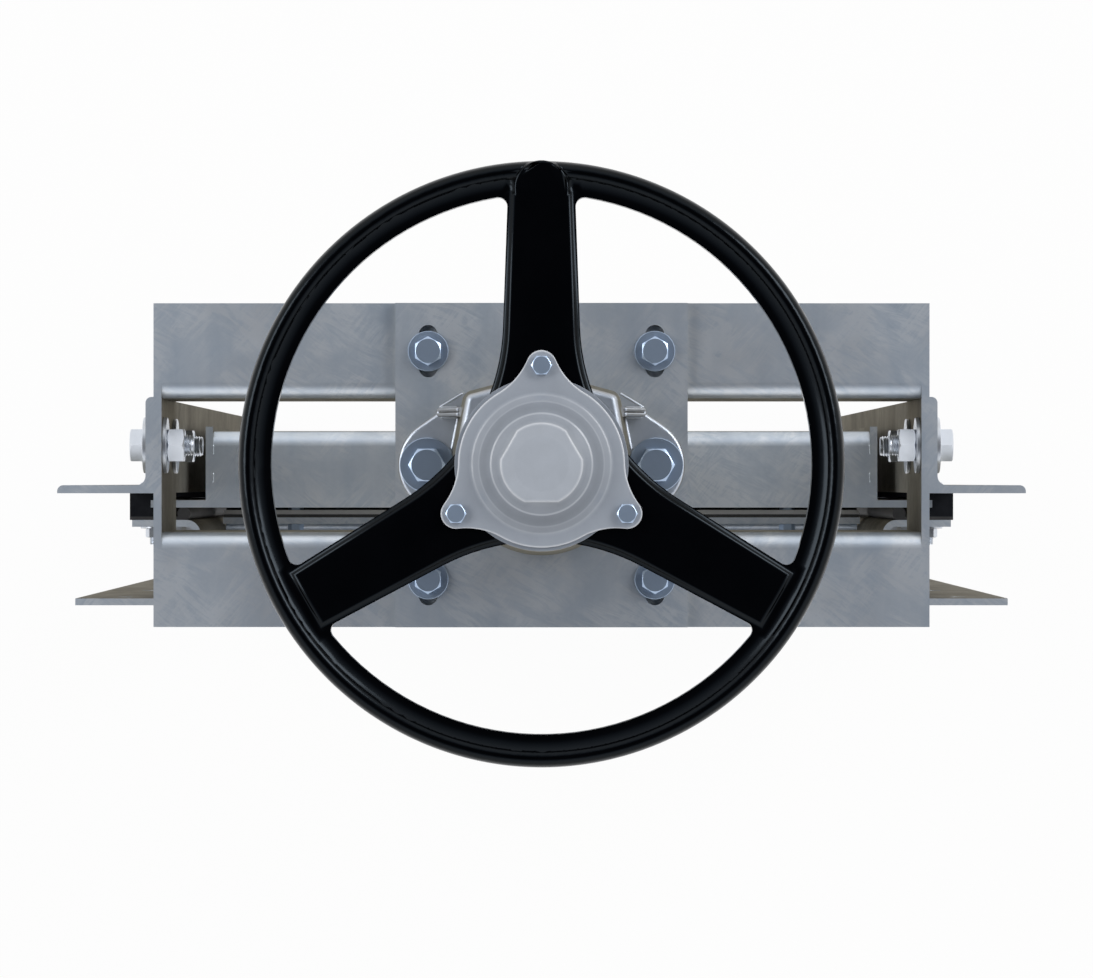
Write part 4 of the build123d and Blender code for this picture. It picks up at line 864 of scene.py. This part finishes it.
for way in (-1, 1):
    off_slope = (way * SLOPE_UP / slope, 0.0, SLOPE_IN / slope)
    beads.append(bead_grid(on_casting(way, rolled), off_slope, ROLL * MM))
    beads += [bead_grid(on_casting(way, path), (0.0, 0.0, 1.0), THIN_ROLL * MM) for path in [web_edge] + feet]
dress(grid_mesh("housing_rib_edges", beads), "frame", grey_casting, angle=60.0)

# %% [markdown]
# Where plates meet they are welded. A weld is a row of small frozen ripples, so its section is a round whose
# radius swells and shrinks along the seam. It is carried straight along each seam and sunk by half into the
# corner.

# %% Welds
WELD_STEP, RIPPLE_LENGTH, WELD, TACK = 1.1 * MM, 4.2 * MM, 3.0 * MM, 1.2 * MM
TACK_HALF, TACK_PLACES, SEAM_GAP = 5 * MM, (-0.135, -0.112), 5 * MM
SEAM_SINK, PLATE, CHANNEL_GAP = 1.0 * MM, 6 * MM, 12 * MM
POST_WELD_FRONT, POST_WELD_REAR, ASKEW = -0.060, -0.015, (0.3, 0.5, 0.81)


def weld(start, end, radius):
    """Round bead from start to end: a rectified sine moves the radius from 0.92 to 1.08 of its size.

    Near both ends the radius falls to nothing with the square root of the distance left, so the bead closes.
    ASKEW is a direction that no seam runs along.
    """
    start, end = np.array(start, float), np.array(end, float)
    length = np.linalg.norm(end - start)
    steps = np.linspace(0.0, 1.0, max(int(length / WELD_STEP), 8))
    ripple = 0.92 + 0.16 * np.abs(np.sin(steps * length / RIPPLE_LENGTH * pi))
    size = radius * ripple * np.sqrt(np.clip(np.minimum(steps, 1 - steps) * length / radius, 0.0, 1.0))
    along = (end - start) / length
    across = np.cross(along, ASKEW)
    across /= np.linalg.norm(across)
    up = np.cross(along, across)
    bend = np.linspace(0.0, 2 * pi, 10, endpoint=False)
    spread = np.cos(bend)[:, None] * across + np.sin(bend)[:, None] * up
    return (start + steps[:, None] * (end - start))[:, None] + size[:, None, None] * spread


seam_y = reach("gate_plate", 1)[0] - SEAM_SINK
beam_end = reach("gate_top_beam", 0)[1]
seams = []
for x in (-beam_end, beam_end):
    for node in ("gate_top_beam", "gate_middle_beam", "gate_bottom_beam"):
        top = reach(node, 2)[1] - SEAM_SINK
        seams += [weld((x, y - TACK_HALF, top), (x, y + TACK_HALF, top), TACK) for y in TACK_PLACES]
    for low, high in ((reach("gate_bottom_beam", 2)[1], reach("gate_middle_beam", 2)[0]),
                      (reach("gate_middle_beam", 2)[1], reach("gate_top_beam", 2)[0])):
        seams.append(weld((x, seam_y, low + SEAM_GAP), (x, seam_y, high - SEAM_GAP), WELD))
dress(grid_mesh("gate_welds", seams), "gate", galvanised_steel, angle=60.0)

channel_end = reach("front_yoke_channel", 0)[1]
web_front = reach("front_yoke_channel", 1)[1]
web_rear = reach("rear_yoke_channel", 1)[0]
low, high = reach("front_yoke_channel", 2, CHANNEL_GAP)
seams = []
for x in (-channel_end, channel_end):
    seams += [weld((x, y, low), (x, y, high), WELD) for y in (web_front - PLATE, web_rear + PLATE)]
post = reach("sill_beam", 0)[1]
for x in (-post, post):
    for height in (reach("sill_beam", 2)[1], reach("lintel_beam", 2)[0] + PLATE):
        seams.append(weld((x, POST_WELD_FRONT, height), (x, POST_WELD_REAR, height), WELD))
dress(grid_mesh("frame_welds", seams), "frame", galvanised_steel, angle=60.0)

# %% [markdown]
# Dressing must not make the gate bigger: a bolt or a weld that stood out would spoil how the part fits
# elsewhere.

# %% End of the dressing
print("dressing done")
